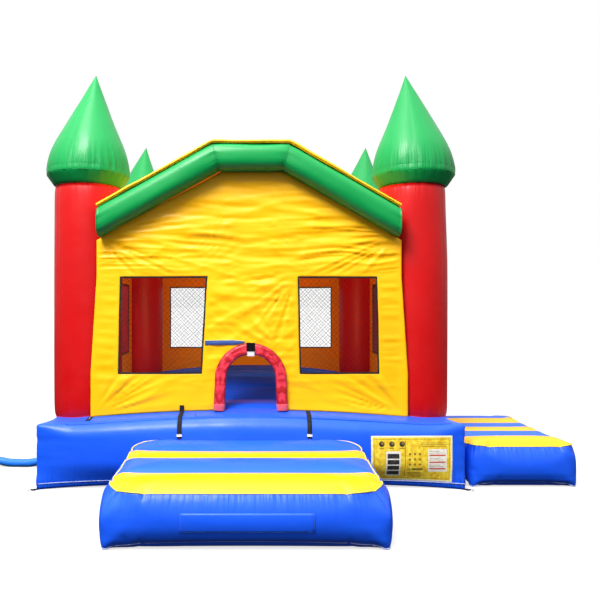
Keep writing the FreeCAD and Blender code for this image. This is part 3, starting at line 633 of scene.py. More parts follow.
def base_point(a, b, c):
    """Where a place on the base's box goes: a and b from -1 to 1 across, c from 0 to 1 up."""
    x, y = a * HALF, b * HALF
    top = base_rise(x, y)
    z = c * top
    new_x, new_y, normal_x, normal_y = round_corner(x, y, HALF, HALF, 0.032)
    from_side = HALF - np.maximum(np.abs(x), np.abs(y))
    from_top = top - z
    along = np.where(np.abs(x) >= np.abs(y), b, a)
    # the top's edge is round, and sharper toward the corners
    curve = TOP_ROUND * (1 - 0.72 * smooth(0.82, 0.99, np.abs(along)))
    at_edge = (from_side < curve) & (from_top < curve)
    out, up = curve - from_side, curve - from_top
    keep = np.where(at_edge, np.maximum(out, up) / np.maximum(np.hypot(out, up), 1e-9), 1.0)
    inward = np.where(at_edge, out * (1 - keep), 0.0)
    z = z - np.where(at_edge, up * (1 - keep), 0.0)
    # the air pushes the sides out, and the seam round the foot holds them in
    middle = 1 - np.abs(along) ** 5
    tuck = SIDE_TUCK * (1 - smooth(0.0, 0.30, z)) ** 1.5 * middle
    waist = 0.008 * (1 - middle) * np.sin(np.clip(z / 0.55, 0, 1) * math.pi)
    puff = SIDE_PUFF * (1 - np.abs(along) ** 3) * np.sin(np.clip(z / 0.62, 0, 1) * math.pi)
    # the back stays flat where the zip is sewn
    puff = puff * (1 - smooth(0.75, 0.97, b))
    inward = inward + (1 - smooth(0.0, 0.16, from_side)) * (tuck + waist - puff)
    lift = SEAM_LIFT * (1 - np.abs(along) ** 2.5) * np.exp(-from_side / 0.10) * (1 - smooth(0.0, 0.28, z))
    new_x, new_y = new_x - normal_x * inward, new_y - normal_y * inward
    return np.stack([np.sign(x) * new_x, np.sign(y) * new_y, z + lift], axis=-1)


def base_front(x, z):
    """A point on the front of the base."""
    a, b, z = np.broadcast_arrays(x / HALF, -1.0, np.asarray(z, float))
    return base_point(a, b, z / base_rise(a * HALF, b * HALF))


def make_base():
    # the points stand closer together near the edges
    level = np.linspace(-1, 1, 133)
    level = np.sign(level) * (1 - (1 - np.abs(level)) ** 1.12)
    ups = np.linspace(0, 1, 23)
    places, quads, _ = box_surface(level, level, ups)
    a, b, c = level[places[:, 0]], level[places[:, 1]], ups[places[:, 2]]
    points = base_point(a, b, c)
    x, y, z = a * HALF, b * HALF, points[:, 2]
    edge_distance = HALF - np.maximum(np.abs(x), np.abs(y))
    along = np.where(np.abs(x) >= np.abs(y), y, x)
    # uneven tension: long shallow swells, and short gathers that fade from the lower corners
    swell = 0.006 * noise(along * 1.6, z * 2.0, 3) + 0.0025 * noise(along * 5.5, z * 3.0, 4)
    corner = np.exp(-(HALF - np.abs(along)) / 0.35)
    gathers = 0.005 * corner * noise(z * 22.0, along * 2.0, 5) * (1 - smooth(0.0, 0.06, edge_distance))
    outward = (swell + gathers) * (1 - smooth(0.0, 0.12, edge_distance)) * smooth(0.01, 0.08, z)
    behind_notice = smooth(1.00, 1.10, x) * (1 - smooth(1.85, 1.92, x)) * (y < -1.8)
    behind_zip = (np.abs(x) < 0.5) & (y > 1.8) & (z > 0.15) & (z < 0.45)
    outward = outward * (1 - behind_notice) * np.where(behind_zip, 0.0, 1.0)
    direction = points - np.stack([points[:, 0] * 0.82, points[:, 1] * 0.82, z * 0 + 0.30], axis=-1)
    direction[:, 2] *= 0.2
    direction /= np.linalg.norm(direction, axis=1, keepdims=True)
    points = points + direction * outward[:, None]
    obj = piece("base_cover", points, quads, blue_vinyl, replaces=["base_chamber"], slot="blue_vinyl")
    tag(obj, beside=np.where(edge_distance < 0.02, np.clip(z - 0.05, 0, 1), 1.0), along=along)


def seam_loop(z, out, count=96):
    """A closed line round the base at a height before the seam's lift."""
    corners = [(1, -1), (1, 1), (-1, 1), (-1, -1)]
    line = [(mix(a0, a1, i / count), mix(b0, b1, i / count))
            for (a0, b0), (a1, b1) in zip(corners, corners[1:] + corners[:1]) for i in range(count)]
    a, b = np.array(line, float).T
    points = base_point(a, b, z / base_rise(a * HALF, b * HALF))
    return points * np.array([1 + out / HALF, 1 + out / HALF, 1.0])


def make_base_trim():
    tube("base_piping", seam_loop(0.052, 0.0035), 0.0045, 6, welt_cloth, closed=True,
         replaces=["base_welt"], slot="welt")
    # the sewn line along the shelf, with the short cross seam that meets it
    y = -HALF + 0.055
    x = np.linspace(-1.72, 1.86, 120)
    line = base_point(x / HALF, np.full_like(x, y / HALF), np.ones_like(x))
    line[:, 1] += 0.006 * noise(x * 1.3, 0, 8)
    line[:, 2] += 0.001
    tube("shelf_seam", line, 0.0022, 5, dark_thread, slot="blue_vinyl")
    across = np.linspace(0, 1, 12)
    dart = base_point(-0.505 / HALF - 0.012 * (1 - across), mix(-0.905, -0.968, across), np.ones(12))
    dart[:, 2] += 0.0012
    tube("shelf_dart", dart, 0.0026, 5, dark_thread, slot="blue_vinyl")


def floor_height(x, y):
    """The jumping floor: swells between creases where the ties pull it down."""
    drop = 0
    for crease in CREASES:
        apart = np.abs(y - crease)
        drop = drop + CREASE_DEPTH * np.exp(-apart / 0.045) * (1 - smooth(1.48, 1.64, np.abs(x)))
    across = 1 - np.clip(np.abs(x) / 1.66, 0, 1) ** 2.5
    fullness = FLOOR_FULLNESS * across * smooth(-1.5, -0.2, y) * (1 - 0.75 * smooth(1.35, 1.74, y))
    return crown_height(x, y) + 0.0045 + 0.003 * noise(x * 2.2, y * 4.0, 11) + fullness - drop


def make_floor():
    low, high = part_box("bounce_floor")
    xs = np.linspace(low.x, high.x, 110)
    fine = np.linspace(low.y, high.y, 190)
    ys = np.unique(np.round(np.concatenate([fine, CREASES]), 4))
    x, y = np.meshgrid(xs, ys, indexing="ij")
    points = np.stack([x, y, floor_height(x, y)], axis=-1)
    faces = grid_faces(len(xs), len(ys), keep=clear_of_columns(x, y, 0.02))
    obj = piece("jumping_floor", points, faces, floor_vinyl, replaces=["bounce_floor"], slot="blue_vinyl")
    tag(obj, run=y + 2.0)
    thicken(obj, 0.003, -1.0)


def make_baffles():
    """The ties inside the base: one sheet under each crease, hollowed at its ends."""
    low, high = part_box("base_baffles")
    for i, crease in enumerate(CREASES):
        xs = np.linspace(low.x, high.x, 60)
        share = np.linspace(0, 1, 14)
        x, t = np.meshgrid(xs, share, indexing="ij")
        top = crown_height(x, crease) - 0.036
        pull = 0.05 * np.sin(t * math.pi) * np.sign(x) * smooth(1.4, 1.81, np.abs(x))
        y = crease + 0.006 * noise(x * 3, t * 3, 30 + i)
        z = low.z + t * (top - low.z)
        obj = piece(f"tie_sheet_{i + 1}", np.stack([x - pull, y, z], axis=-1), grid_faces(60, 14),
                    baffle_cloth, replaces=["base_baffles"] if i == 0 else (), slot="baffle_cloth")
        thicken(obj, 0.0015)


# Columns and cones

def make_column(name, sx, sy, seed):
    around, rows = 120, 64
    t, a = np.meshgrid(np.linspace(0, 1, rows), turns(around), indexing="ij")
    x0, y0 = sx * COLUMN_X, sy * COLUMN_Y
    foot = crown_height(x0 + COLUMN_RADIUS * np.cos(a), y0 + COLUMN_RADIUS * np.sin(a)) - 0.004
    z = foot + t * (COLUMN_TOP - 0.003 - foot)
    from_foot, from_top = z - foot, COLUMN_TOP - z
    radius = COLUMN_RADIUS - 0.007 + 0.005 * np.sin(t * math.pi) ** 0.5
    radius = radius - 0.016 * np.exp(-from_foot / 0.035) - 0.010 * np.exp(-from_top / 0.03)
    pucker = noise(a * 9, 0, seed) + 0.6 * noise(a * 21, 0, seed + 1)
    radius = radius + 0.0045 * pucker * (np.exp(-from_foot / 0.09) + np.exp(-from_top / 0.10))
    radius = radius + 0.0028 * noise(a * 1.6, z * 1.1, seed + 2)
    # the column's own upright seam, on the side away from its neighbours
    apart = np.abs((a - math.atan2(sy, sx) + math.pi) % (2 * math.pi) - math.pi)
    radius = radius - 0.004 * np.exp(-apart / 0.02)
    # the right-hand columns lean in a little at their tops
    lean = -0.016 * smooth(0.65, 1.0, t) if sx > 0 else 0.0
    points = np.stack([x0 + lean + radius * np.cos(a), y0 + radius * np.sin(a), z], axis=-1)
    obj = cover(name, points, capped(rows, around), red_vinyl, "red_vinyl")
    tag(obj, beside=np.minimum(from_foot, from_top), along=a * COLUMN_RADIUS)


# how far each cone's tip leans in
CONE_LEAN = {(-1, -1): 0.075, (1, -1): 0.075, (-1, 1): 0.095, (1, 1): -0.055}
CONE_RIM_Z = 3.045
# (radius, height) from the column's top, out round the rim, to where the straight taper starts
CONE_PROFILE = [
    (0.318, 2.8815), (0.3335, 2.8890), (0.352, 2.9140), (0.3720, 2.9430), (0.3900, 2.9690), (0.4020, 2.9880),
    (0.4075, 3.0080), (0.4090, 3.0450), (0.4060, 3.0950), (0.3975, 3.1500), (0.3820, 3.2050),
    (0.3640, 3.2560),
]


def make_cone(name, sx, sy, seed):
    around = 132
    taper_radius, taper_foot = CONE_PROFILE[-1]
    taper = [(taper_radius * (1 - t) ** 1.03 + 0.004, mix(taper_foot, CONE_TOP, t))
             for t in np.linspace(0, 1, 40)[1:]]
    profile = resample([(r, z, 0) for r, z in CONE_PROFILE + taper], 110)
    upper = int(np.argmax(profile[:, 1] > 3.06))
    for _ in range(60):
        profile[upper:-1] = (profile[upper - 1:-2] + 2 * profile[upper:-1] + profile[upper + 1:]) / 4
    r, a = np.meshgrid(profile[:, 0], turns(around), indexing="ij")
    z = np.repeat(profile[:, 1:2], around, axis=1)
    # four cloth panels, gathered at the rim
    gores = np.abs(np.sin(a * 2.0 + 0.5))
    r = r * (1 - 0.020 * (1 - gores) ** 3 * smooth(2.95, 3.1, z))
    gather = noise(a * 14, 0, seed) + 0.7 * noise(a * 30, 0, seed + 1)
    r = r + 0.0050 * gather * np.exp(-np.abs(z - CONE_RIM_Z) / np.where(z > CONE_RIM_Z, 0.10, 0.07))
    r = r + 0.0030 * noise(a * 2, z * 4, seed + 2) * smooth(0.02, 0.1, r)
    bend = CONE_LEAN[sx, sy] * np.clip((z - CONE_RIM_Z) / (CONE_TOP - CONE_RIM_Z), 0, 1) ** 1.6
    points = np.stack([sx * (COLUMN_X - bend) + r * np.cos(a), sy * COLUMN_Y + r * np.sin(a), z], axis=-1)
    obj = cover(name, points, capped(len(profile), around), green_vinyl, "green_vinyl")
    tag(obj, beside=np.abs(z - CONE_RIM_Z) * np.where(z > CONE_RIM_Z, 0.8, 1.3), along=a * 0.4)
    # the sewn rim where the cone's underside meets its taper
    turn = turns(120)
    radius = 0.4035 + 0.0045 * (noise(turn * 14, 0, seed) + 0.7 * noise(turn * 30, 0, seed + 1))
    ring = np.stack([sx * COLUMN_X + radius * np.cos(turn), sy * COLUMN_Y + radius * np.sin(turn),
                     CONE_RIM_Z - 0.052 + 0.003 * noise(turn * 6, 0, seed + 5)], axis=-1)
    tube(name.replace("_cover", "_rim_seam"), ring, 0.0022, 5, green_vinyl, closed=True, slot="green_vinyl")


# The roof

def roof_line(lift, end_x):
    """The line that lies lift over the beams' top: left end, both shoulders, right end."""
    flat = ROOF_FLAT_HALF + lift * math.tan(ROOF_PITCH / 2)
    top = BEAM_HIGH.z + lift
    end_z = top - (end_x - flat) * math.tan(ROOF_PITCH)
    return np.array([(-end_x, 0, end_z), (-flat, 0, top), (flat, 0, top), (end_x, 0, end_z)])


def roof_height(x, lift):
    line = roof_line(lift, 2.0)
    return np.interp(x, line[:, 0], line[:, 2])


def drawn_in(x):
    """The front beam's right end sits a little nearer the middle than the left one."""
    return x - 0.036 * smooth(0.4, 1.44, x)


def make_beam(name, sy, seed):
    """A mitred tube in three runs, with its cloth gathered at the mitres and flat ends."""
    end_x = BEAM_HIGH.x - 0.004
    inner, outer = roof_line(-BEAM_THICK, end_x), roof_line(-BEAM_SINK, end_x)
    runs = [22, 20, 22]
    section_turn = turns(64)
    # a rounded square, from -1 to 1 each way
    power = 0.74
    across = np.sign(np.cos(section_turn)) * np.abs(np.cos(section_turn)) ** power
    up = np.sign(np.sin(section_turn)) * np.abs(np.sin(section_turn)) ** power
    middle_y = sy * (-(BEAM_LOW.y + BEAM_HIGH.y) / 2)
    half_y = (BEAM_HIGH.y - BEAM_LOW.y) / 2
    rows, beside, along = [], [], []
    travelled = 0.0
    for run, steps in enumerate(runs):
        length = np.linalg.norm(outer[run + 1] - outer[run])
        shares = np.linspace(0, 1, steps * 2 + 1)
        shares = shares if run == 0 else shares[1:]
        for share in shares:
            low, high = mix(inner[run], inner[run + 1], share), mix(outer[run], outer[run + 1], share)
            to_mitre = length * min(share if run > 0 else 9.0, 1 - share if run < 2 else 9.0)
            to_end = length * min(share if run == 0 else 9.0, 1 - share if run == 2 else 9.0)
            pinch = 0.045 * math.exp(-to_mitre / 0.035) + 0.035 * math.exp(-to_end / 0.02)
            puff = 1 - pinch
            centre = (low + high) / 2
            half = (high - low) / 2 * puff
            fold = noise(section_turn * 6.5, 0, seed + run) * 0.003 * math.exp(-min(to_mitre, to_end) / 0.07)
            fold = fold + 0.004 * noise(section_turn * 1.4 + run * 7, travelled * 3 + share * length * 3,
                                        seed + 9)
            swell = 1 + fold / 0.14
            points = centre + up[:, None] * half * swell[:, None]
            points[:, 1] = middle_y + across * half_y * puff * swell
            rows.append(points)
            beside.append(np.full(64, min(to_mitre, to_end)))
            along.append(section_turn * 0.14)
        travelled += length
    points = np.array(rows)
    if sy < 0:
        points[..., 0] = drawn_in(points[..., 0])
    faces = capped(len(rows), 64)
    obj = cover(name, points, faces, beam_vinyl, "green_vinyl")
    tag(obj, beside=np.array(beside), along=np.array(along))
    # a welt in each mitre seam and round each end
    for number, row in enumerate((0, 44, 84, len(rows) - 1)):
        loop = points[row] + (points[row] - points[row].mean(0)) * 0.006
        tube(name.replace("_cover", f"_seam_{number + 1}"), loop, 0.0035, 5, green_vinyl, closed=True,
             slot="green_vinyl")


def make_eave(name, sx, seed):
    radius = (EAVE_HIGH.x - EAVE_LOW.x) / 2
    centre_x = (EAVE_HIGH.x + EAVE_LOW.x) / 2
    centre_z = (EAVE_HIGH.z + EAVE_LOW.z) / 2
    turn = np.linspace(0, 2 * math.pi, 48, endpoint=False)
    ys = np.linspace(EAVE_LOW.y + 0.002, EAVE_HIGH.y - 0.002, 70)
    y, a = np.meshgrid(ys, turn, indexing="ij")
    to_end = EAVE_HIGH.y - np.abs(y)
    r = radius - 0.003 - 0.014 * np.exp(-to_end / 0.03)
    r = r + 0.003 * noise(a * 5, 0, seed) * np.exp(-to_end / 0.10) + 0.002 * noise(a * 1.5, y * 3, seed + 1)
    points = np.stack([sx * (centre_x + r * np.cos(a)), y, centre_z + r * np.sin(a)], axis=-1)
    cover(name, points, capped(70, 48), yellow_vinyl, "yellow_vinyl")


def make_canopy():
    """One sheet over both beams and eaves, sagging a little between them, with a turned hem."""
    half_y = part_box("roof_canopy")[1].y
    reach = COLUMN_Y - COLUMN_RADIUS + 0.018
    end_x, eave_x = BEAM_HIGH.x, SIDE_WALL_X + 0.038
    xs = np.unique(np.round(np.concatenate([np.linspace(-eave_x, eave_x, 150), [-end_x, end_x]]), 4))
    ys = np.unique(np.round(np.concatenate([np.linspace(-half_y, half_y, 150), [-reach, reach]]), 4))
    x, y = np.meshgrid(xs, ys, indexing="ij")
    between = 1 - smooth(1.30, 1.62, np.abs(y))
    sag = 0.055 * between * (0.55 + 0.45 * np.cos(x / eave_x * math.pi / 2))
    folds = ridges(x * 6 + 0.4 * noise(x, y, 53), y * 0.8, 52)
    pull = 0.010 * noise(x * 1.5, y * 2.0, 51) + 0.007 * folds * between
    hem = 0.004 * noise(x * 7, 0, 54) * smooth(1.80, 1.88, np.abs(y))
    over_beam = 0.0045 + 0.004 * smooth(1.66, 1.75, np.abs(y)) * (1 - smooth(1.83, 1.88, np.abs(y)))
    line = roof_height(x, -BEAM_SINK)
    z = np.minimum(line + over_beam - sag + pull * between * 0.6 + hem, line + 0.012)
    keep = clear_of_columns(x, y, 0.012) & ((np.abs(middles(x)) < end_x) | (np.abs(middles(y)) < reach))
    x = np.where(y < -1.6, drawn_in(x), x)
    obj = piece("roof_sheet", np.stack([x, y, z], axis=-1), grid_faces(len(xs), len(ys), keep=keep),
                roof_vinyl, replaces=["roof_canopy"], slot="yellow_vinyl")
    thicken(obj, 0.003, 1.0)
    # the turned-up edge along the front and back, with its line of stitches
    trims = []
    for side in (-1, 1):
        run = np.linspace(-end_x, end_x, 160)
        base = roof_height(run, -BEAM_SINK) + 0.006 + 0.003 * noise(run * 7, 0, 54)
        edge_y = side * (half_y + 0.004)
        normal = np.stack([np.sin(ROOF_PITCH) * np.sign(run) * (np.abs(run) > ROOF_FLAT_HALF), 0 * run,
                           np.where(np.abs(run) > ROOF_FLAT_HALF, math.cos(ROOF_PITCH), 1.0)], axis=-1)
        foot = np.stack([drawn_in(run) if side < 0 else run, np.full_like(run, edge_y), base], axis=-1)
        rise = 0.024 + 0.004 * noise(run * 3, 0, 56)
        rows = [foot + normal * (rise * k)[:, None] + np.array([0, side * 0.006 * math.sin(k * math.pi), 0])
                for k in (-0.35, 0.0, 0.33, 0.66, 0.9, 1.0)]
        rows.append(rows[-1] + np.array([0, -side * 0.010, 0.0]))
        rows.append(foot + normal * 0.6 * rise[:, None] + np.array([0, -side * 0.014, 0.0]))
        hem_piece = piece(f"roof_hem_{'front' if side < 0 else 'rear'}", np.stack(rows, axis=1),
                          grid_faces(len(run), len(rows)), roof_vinyl, slot="yellow_vinyl")
        thicken(hem_piece, 0.0025)
        subdivide(hem_piece, 1)
        line = foot + normal * 0.006 + np.array([0, side * 0.0075, 0])
        stitch = tube(f"roof_stitch_{'front' if side < 0 else 'rear'}", line, 0.0016, 5, orange_thread,
                      slot="yellow_vinyl")
        trims += [hem_piece, stitch]


# Walls

WRINKLES = 1.9            # how strong the front and rear walls' folds are


def fan(u, v, origin, toward, spread, count, reach, seed):
    """Folds that radiate from a point where the cloth is pulled: toward is their mean direction."""
    du, dv = u - origin[0], v - origin[1]
    distance = np.hypot(du, dv)
    turn = np.arctan2(dv, du)
    off = (turn - math.radians(toward) + math.pi) % (2 * math.pi) - math.pi
    inside = 1 - smooth(0.6, 1.0, np.abs(off) / math.radians(spread))
    fold = ridges(off / math.radians(spread) * count, distance * 0.7, seed) - 0.4
    return fold * inside * smooth(0.04, 0.34, distance) * np.exp(-distance / reach)


def tension(u, v, amount, seed):
    """Long level wrinkles from a panel that is pulled tight from side to side."""
    bent = v + 0.05 * noise(u * 0.8, v * 0.8, seed) + 0.02 * noise(u * 2.5, v * 1.5, seed + 1)
    fold = ridges(u * 1.0 + 3 * noise(v * 2, 0, seed + 2), bent * 12, seed + 3) - 0.35
    fine = ridges(u * 1.8 + 2 * noise(v * 5, 0, seed + 5), bent * 25, seed + 4) - 0.35
    return amount * (0.8 * fold + 0.75 * fine)


def wall_grid(windows, half, top_of, foot_of, extra=()):
    """Columns and rows of a wall that follow its windows' edges. Returns u, v and the cells kept."""
    edges = sorted({-half, half, *[e for w in windows for e in w], *extra})
    us = [edges[0]]
    for a, b in zip(edges, edges[1:]):
        us += list(np.linspace(a, b, max(2, round((b - a) / 0.018)) + 1)[1:])
    us = np.array(us)
    low, high = foot_of(us), top_of(us)
    parts = [np.linspace(0, 1, 24)[None] * (WINDOW_LOW - low)[:, None] + low[:, None]]
    parts.append(np.repeat(np.linspace(WINDOW_LOW, WINDOW_HIGH, 50)[None, 1:], len(us), axis=0))
    parts.append(np.linspace(0, 1, 56)[None, 1:] * (high - WINDOW_HIGH)[:, None] + WINDOW_HIGH)
    v = np.concatenate(parts, axis=1)
    u = np.repeat(us[:, None], v.shape[1], axis=1)
    mid_u, mid_v = (u[1:, 1:] + u[:-1, :-1]) / 2, (v[1:, 1:] + v[:-1, :-1]) / 2
    keep = np.ones(mid_u.shape, bool)
    for a, b in windows:
        keep &= ~((mid_u > a) & (mid_u < b) & (mid_v > WINDOW_LOW) & (mid_v < WINDOW_HIGH))
    return u, v, keep, mid_u, mid_v


def window_distance(u, v, windows):
    """How far a point is outside the nearest window."""
    nearest = np.full(u.shape, 9.0)
    for a, b in windows:
        du = np.maximum(np.maximum(a - u, u - b), 0)
        dv = np.maximum(np.maximum(WINDOW_LOW - v, v - WINDOW_HIGH), 0)
        nearest = np.minimum(nearest, np.hypot(du, dv))
    return nearest


def pulled(u, v):
    """How far the front wall's cloth is drawn sideways: its edges lean and its windows are out of square."""
    knots = [-1.5, -1.24, -0.45, 0.45, 1.24, 1.5]
    at_foot = [-0.036, -0.032, -0.019, 0.022, -0.009, 0.006]
    at_top = [0.022, -0.014, 0.031, 0.001, -0.030, -0.055]
    height = np.clip((v - WINDOW_LOW) / (WINDOW_HIGH - WINDOW_LOW), 0, 1)
    moved = 0.0
    for number in range(len(knots)):
        share = np.interp(u, knots, [float(k == number) for k in range(len(knots))])
        moved = moved + share * mix(at_foot[number], at_top[number], height)
    return moved


def end_wall_relief(u, v, seed):
    """How far the cloth of an end wall stands out from its plane."""
    half = WALL_HIGH.x
    top = roof_height(u, -BEAM_THICK)
    relief = tension(u, v, 0.0085, seed) * smooth(1.93, 2.15, v) * (1 - 0.4 * smooth(2.6, 2.9, v))
    relief += tension(u, v, 0.0045, seed + 7) * (1 - smooth(1.9, 2.05, v)) * smooth(0.8, 1.05, v)
    for side in (-1, 1):
        relief += 0.012 * fan(u * side, v, (half - 0.02, 2.38), 200, 40, 9, 1.15, seed + 20 + side)
        relief += 0.016 * fan(u * side, v, (half - 0.02, 0.64), 150, 45, 8, 0.70, seed + 24 + side)
        relief += 0.005 * fan(u * side, v, (0.42, 1.99), 100, 70, 6, 0.45, seed + 28 + side)
        relief += 0.005 * fan(u * side, v, (1.26, 1.99), 70, 60, 6, 0.40, seed + 32 + side)
        relief += 0.012 * fan(u * side, v, (0.40, 1.02), 230, 60, 6, 0.40, seed + 36 + side)
    relief += 0.020 * fan(u, v, (0.44, 2.02), 222, 50, 8, 0.75, seed + 44)
    relief += 0.014 * fan(u, v, (0.30, 1.25), 150, 50, 6, 0.50, seed + 46)
    swell = 0.012 * noise(u * 0.9, v * 0.9, seed + 40)
    edge = np.minimum(half - np.abs(u), top - v)
    foot = v - crown_height(u, WALL_LOW.y)
    held = smooth(0.0, 0.10, edge) * smooth(0.0, 0.09, foot)
    near = window_distance(u, v, END_WINDOWS)
    return (WRINKLES * relief * smooth(0.008, 0.06, near) + swell * smooth(0.0, 0.22, near)) * held


def make_end_wall(name, sy, has_door, seed):
    plane = -sy * WALL_HIGH.y
    half = WALL_HIGH.x

    def foot_of(x):
        return crown_height(x, WALL_LOW.y) + 0.003

    def top_of(x):
        return roof_height(x, -BEAM_THICK) + 0.012

    shoulder = ROOF_FLAT_HALF
    u, v, keep, mid_u, mid_v = wall_grid(END_WINDOWS, half, top_of, foot_of, (-shoulder, shoulder))
    if has_door:
        middle = (DOOR_OUTER + DOOR_INNER) / 2
        head = np.hypot(mid_u, np.maximum(mid_v - DOOR_SPRING_Z, 0))
        keep &= ~(head < middle)
    relief = end_wall_relief(u, v, seed)
    outward = sy
    relief *= 1.0 if sy < 0 else 0.55
    y = plane + outward * np.clip(relief + 0.003, -0.016, 0.060)
    points = np.stack([u + (pulled(u, v) if sy < 0 else 0.0), y, v], axis=-1)
    obj = piece(name, points, grid_faces(*u.shape, keep=keep), yellow_vinyl,
                replaces=[name.replace("_cloth", "")], slot="yellow_vinyl")
    thicken(obj, 0.0016)
    width, height = 2 * half, float(top_of(np.array([0.0]))[0] - foot_of(np.array([half]))[0])


def make_side_wall(name, sx, seed):
    low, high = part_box("wall_right")
    half = high.y

    def foot_of(y):
        return crown_height(SIDE_WALL_X, y) + 0.003

    def top_of(y):
        return np.full_like(y, high.z + 0.006)

    u, v, keep, _, _ = wall_grid([SIDE_WINDOW], half, top_of, foot_of)
    relief = tension(u, v, 0.005, seed) + 0.012 * noise(u * 0.9, v * 0.9, seed + 40)
    for side in (-1, 1):
        relief += 0.014 * fan(u * side, v, (half - 0.02, 2.2), 200, 45, 6, 0.35, seed + 20 + side)
        relief += 0.014 * fan(u * side, v, (half - 0.02, 0.68), 150, 45, 6, 0.35, seed + 24 + side)
    held = smooth(0.0, 0.08, half - np.abs(u)) * smooth(0.0, 0.08, high.z - v)
    held = held * smooth(0.0, 0.08, v - foot_of(u))
    relief *= held * smooth(0.0, 0.07, window_distance(u, v, [SIDE_WINDOW]))
    x = SIDE_WALL_X - 0.0025 + np.clip(relief, -0.01, 0.03)
    points = np.stack([sx * x, u, v], axis=-1)
    obj = piece(name, points, grid_faces(*u.shape, keep=keep), yellow_vinyl,
                replaces=[name.replace("_cloth", "")], slot="yellow_vinyl")
    thicken(obj, 0.0016)


# Nets and their edging

NET_PITCH = 0.039         # between strands, which run both ways at 45 degrees
FRONT_STRAND, STRAND = 0.0009, 0.0022


def net_lines(a, b, low, high):
    """The ends of every strand of a diamond net in a rectangle."""
    step = NET_PITCH * math.sqrt(2)
    lines = []
    for slope in (1, -1):
        start = a + low if slope < 0 else a - high
        stop = b + high if slope < 0 else b - low
        value = math.ceil(start / step) * step
        while value < stop:
            # the strand is the line u - slope * v = value
            v0, v1 = sorted(((a - value) / slope, (b - value) / slope))
            v0, v1 = max(low, v0), min(high, v1)
            if v1 - v0 > 0.01:
                lines.append((value + slope * v0, v0, value + slope * v1, v1))
            value += step
    return lines


def make_net(name, windows, place, replaced, seed, strand=STRAND):
    """A net of real strands. place(u, v, out) puts a point in space."""
    points, faces = [], []
    margin = 0.012
    for a, b in windows:
        for u0, v0, u1, v1 in net_lines(a - margin, b + margin, WINDOW_LOW - margin, WINDOW_HIGH + margin):
            length = math.hypot(u1 - u0, v1 - v0)
            count = max(2, round(length / NET_PITCH) + 1)
            share = np.linspace(0, 1, count)
            u, v = mix(u0, u1, share), mix(v0, v1, share)
            inset = np.minimum(np.minimum(u - a, b - u), np.minimum(v - WINDOW_LOW, WINDOW_HIGH - v))
            ease = smooth(0.0, 0.15, inset)
            u = u + 0.004 * ease * noise(u * 9, v * 9, seed)
            v = v + 0.004 * ease * noise(u * 9, v * 9, seed + 1) - 0.006 * ease
            out = -0.010 * ease * (1 + 0.5 * noise(u * 3, v * 3, seed + 2))
            line = place(u, v, out)
            along = frames(line)
            normal = place(u, v, out + 0.01) - line
            normal /= np.linalg.norm(normal, axis=1, keepdims=True)
            side = np.cross(along, normal)
            ring = strand * np.array([(1, 0), (-0.5, 0.87), (-0.5, -0.87)])
            faces += grid_faces(count, 3, wrap_v=True, start=sum(len(p) for p in points))
            points.append(sweep(line, ring, side, normal).reshape(-1, 3))
    piece(name, np.concatenate(points), faces, net_cord, replaces=[replaced], slot="black_net", shade=False)


def make_binding(name, windows, place, replaced, seed):
    """Folded black tape round each window, a little uneven."""
    points, faces, run, cross = [], [], [], []
    profile = np.array([(-0.5, 0.0), (-0.47, 0.0016), (-0.2, 0.0021), (0.2, 0.0021), (0.46, 0.0024),
                        (0.5, 0.0012), (0.5, -0.0024), (0.2, -0.0030), (-0.2, -0.0030), (-0.5, -0.0012)])
    start = 0
    for a, b in windows:
        middle = BINDING / 2 - 0.002
        corners = [(a + middle, WINDOW_LOW + middle), (b - middle, WINDOW_LOW + middle),
                   (b - middle, WINDOW_HIGH - middle), (a + middle, WINDOW_HIGH - middle)]
        line, inward = [], []
        for (u0, v0), (u1, v1) in zip(corners, corners[1:] + corners[:1]):
            steps = round(math.hypot(u1 - u0, v1 - v0) / 0.035)
            for i in range(steps):
                line.append((mix(u0, u1, i / steps), mix(v0, v1, i / steps)))
                du, dv = (u1 - u0), (v1 - v0)
                size = math.hypot(du, dv)
                turn = np.array([-dv / size, du / size])
                if i == 0:
                    before = corners[corners.index((u0, v0)) - 1]
                    du0, dv0 = u0 - before[0], v0 - before[1]
                    other = np.array([-dv0, du0]) / math.hypot(du0, dv0)
                    turn = turn + other
                inward.append(turn)
        line, inward = np.array(line), np.array(inward)
        wobble = 0.0022 * noise(line[:, 0] * 5, line[:, 1] * 5, seed)
        width = BINDING * (1 + 0.06 * noise(line[:, 0] * 7, line[:, 1] * 7, seed + 1))
        rings = []
        for s, out in profile:
            uv = line + inward * (width * -s + wobble)[:, None]
            rings.append(place(uv[:, 0], uv[:, 1], np.full(len(line), out)))
        rings = np.stack(rings, axis=1)
        points.append(rings.reshape(-1, 3))
        faces += grid_faces(len(line), len(profile), wrap_u=True, wrap_v=True, start=start)
        start += rings.shape[0] * rings.shape[1]
        distance = np.arange(len(line)) * 0.035
        run.append(np.repeat(distance, len(profile)))
        cross.append(np.tile(profile[:, 0] * BINDING, len(line)))
    obj = piece(name, np.concatenate(points), faces, black_web, replaces=[replaced], slot="black_webbing")
    tag(obj, run=np.concatenate(run))
    tag(obj, cross=np.concatenate(cross))


def on_end(sy, depth):
    """Puts window coordinates on an end wall; out is away from the room."""
    def place(u, v, out):
        return np.stack([u + (pulled(u, v) if sy < 0 else 0.0), sy * (depth + out), v], axis=-1)
    return place


def on_side(sx, depth):
    def place(u, v, out):
        return np.stack([sx * (depth + out), u, v], axis=-1)
    return place


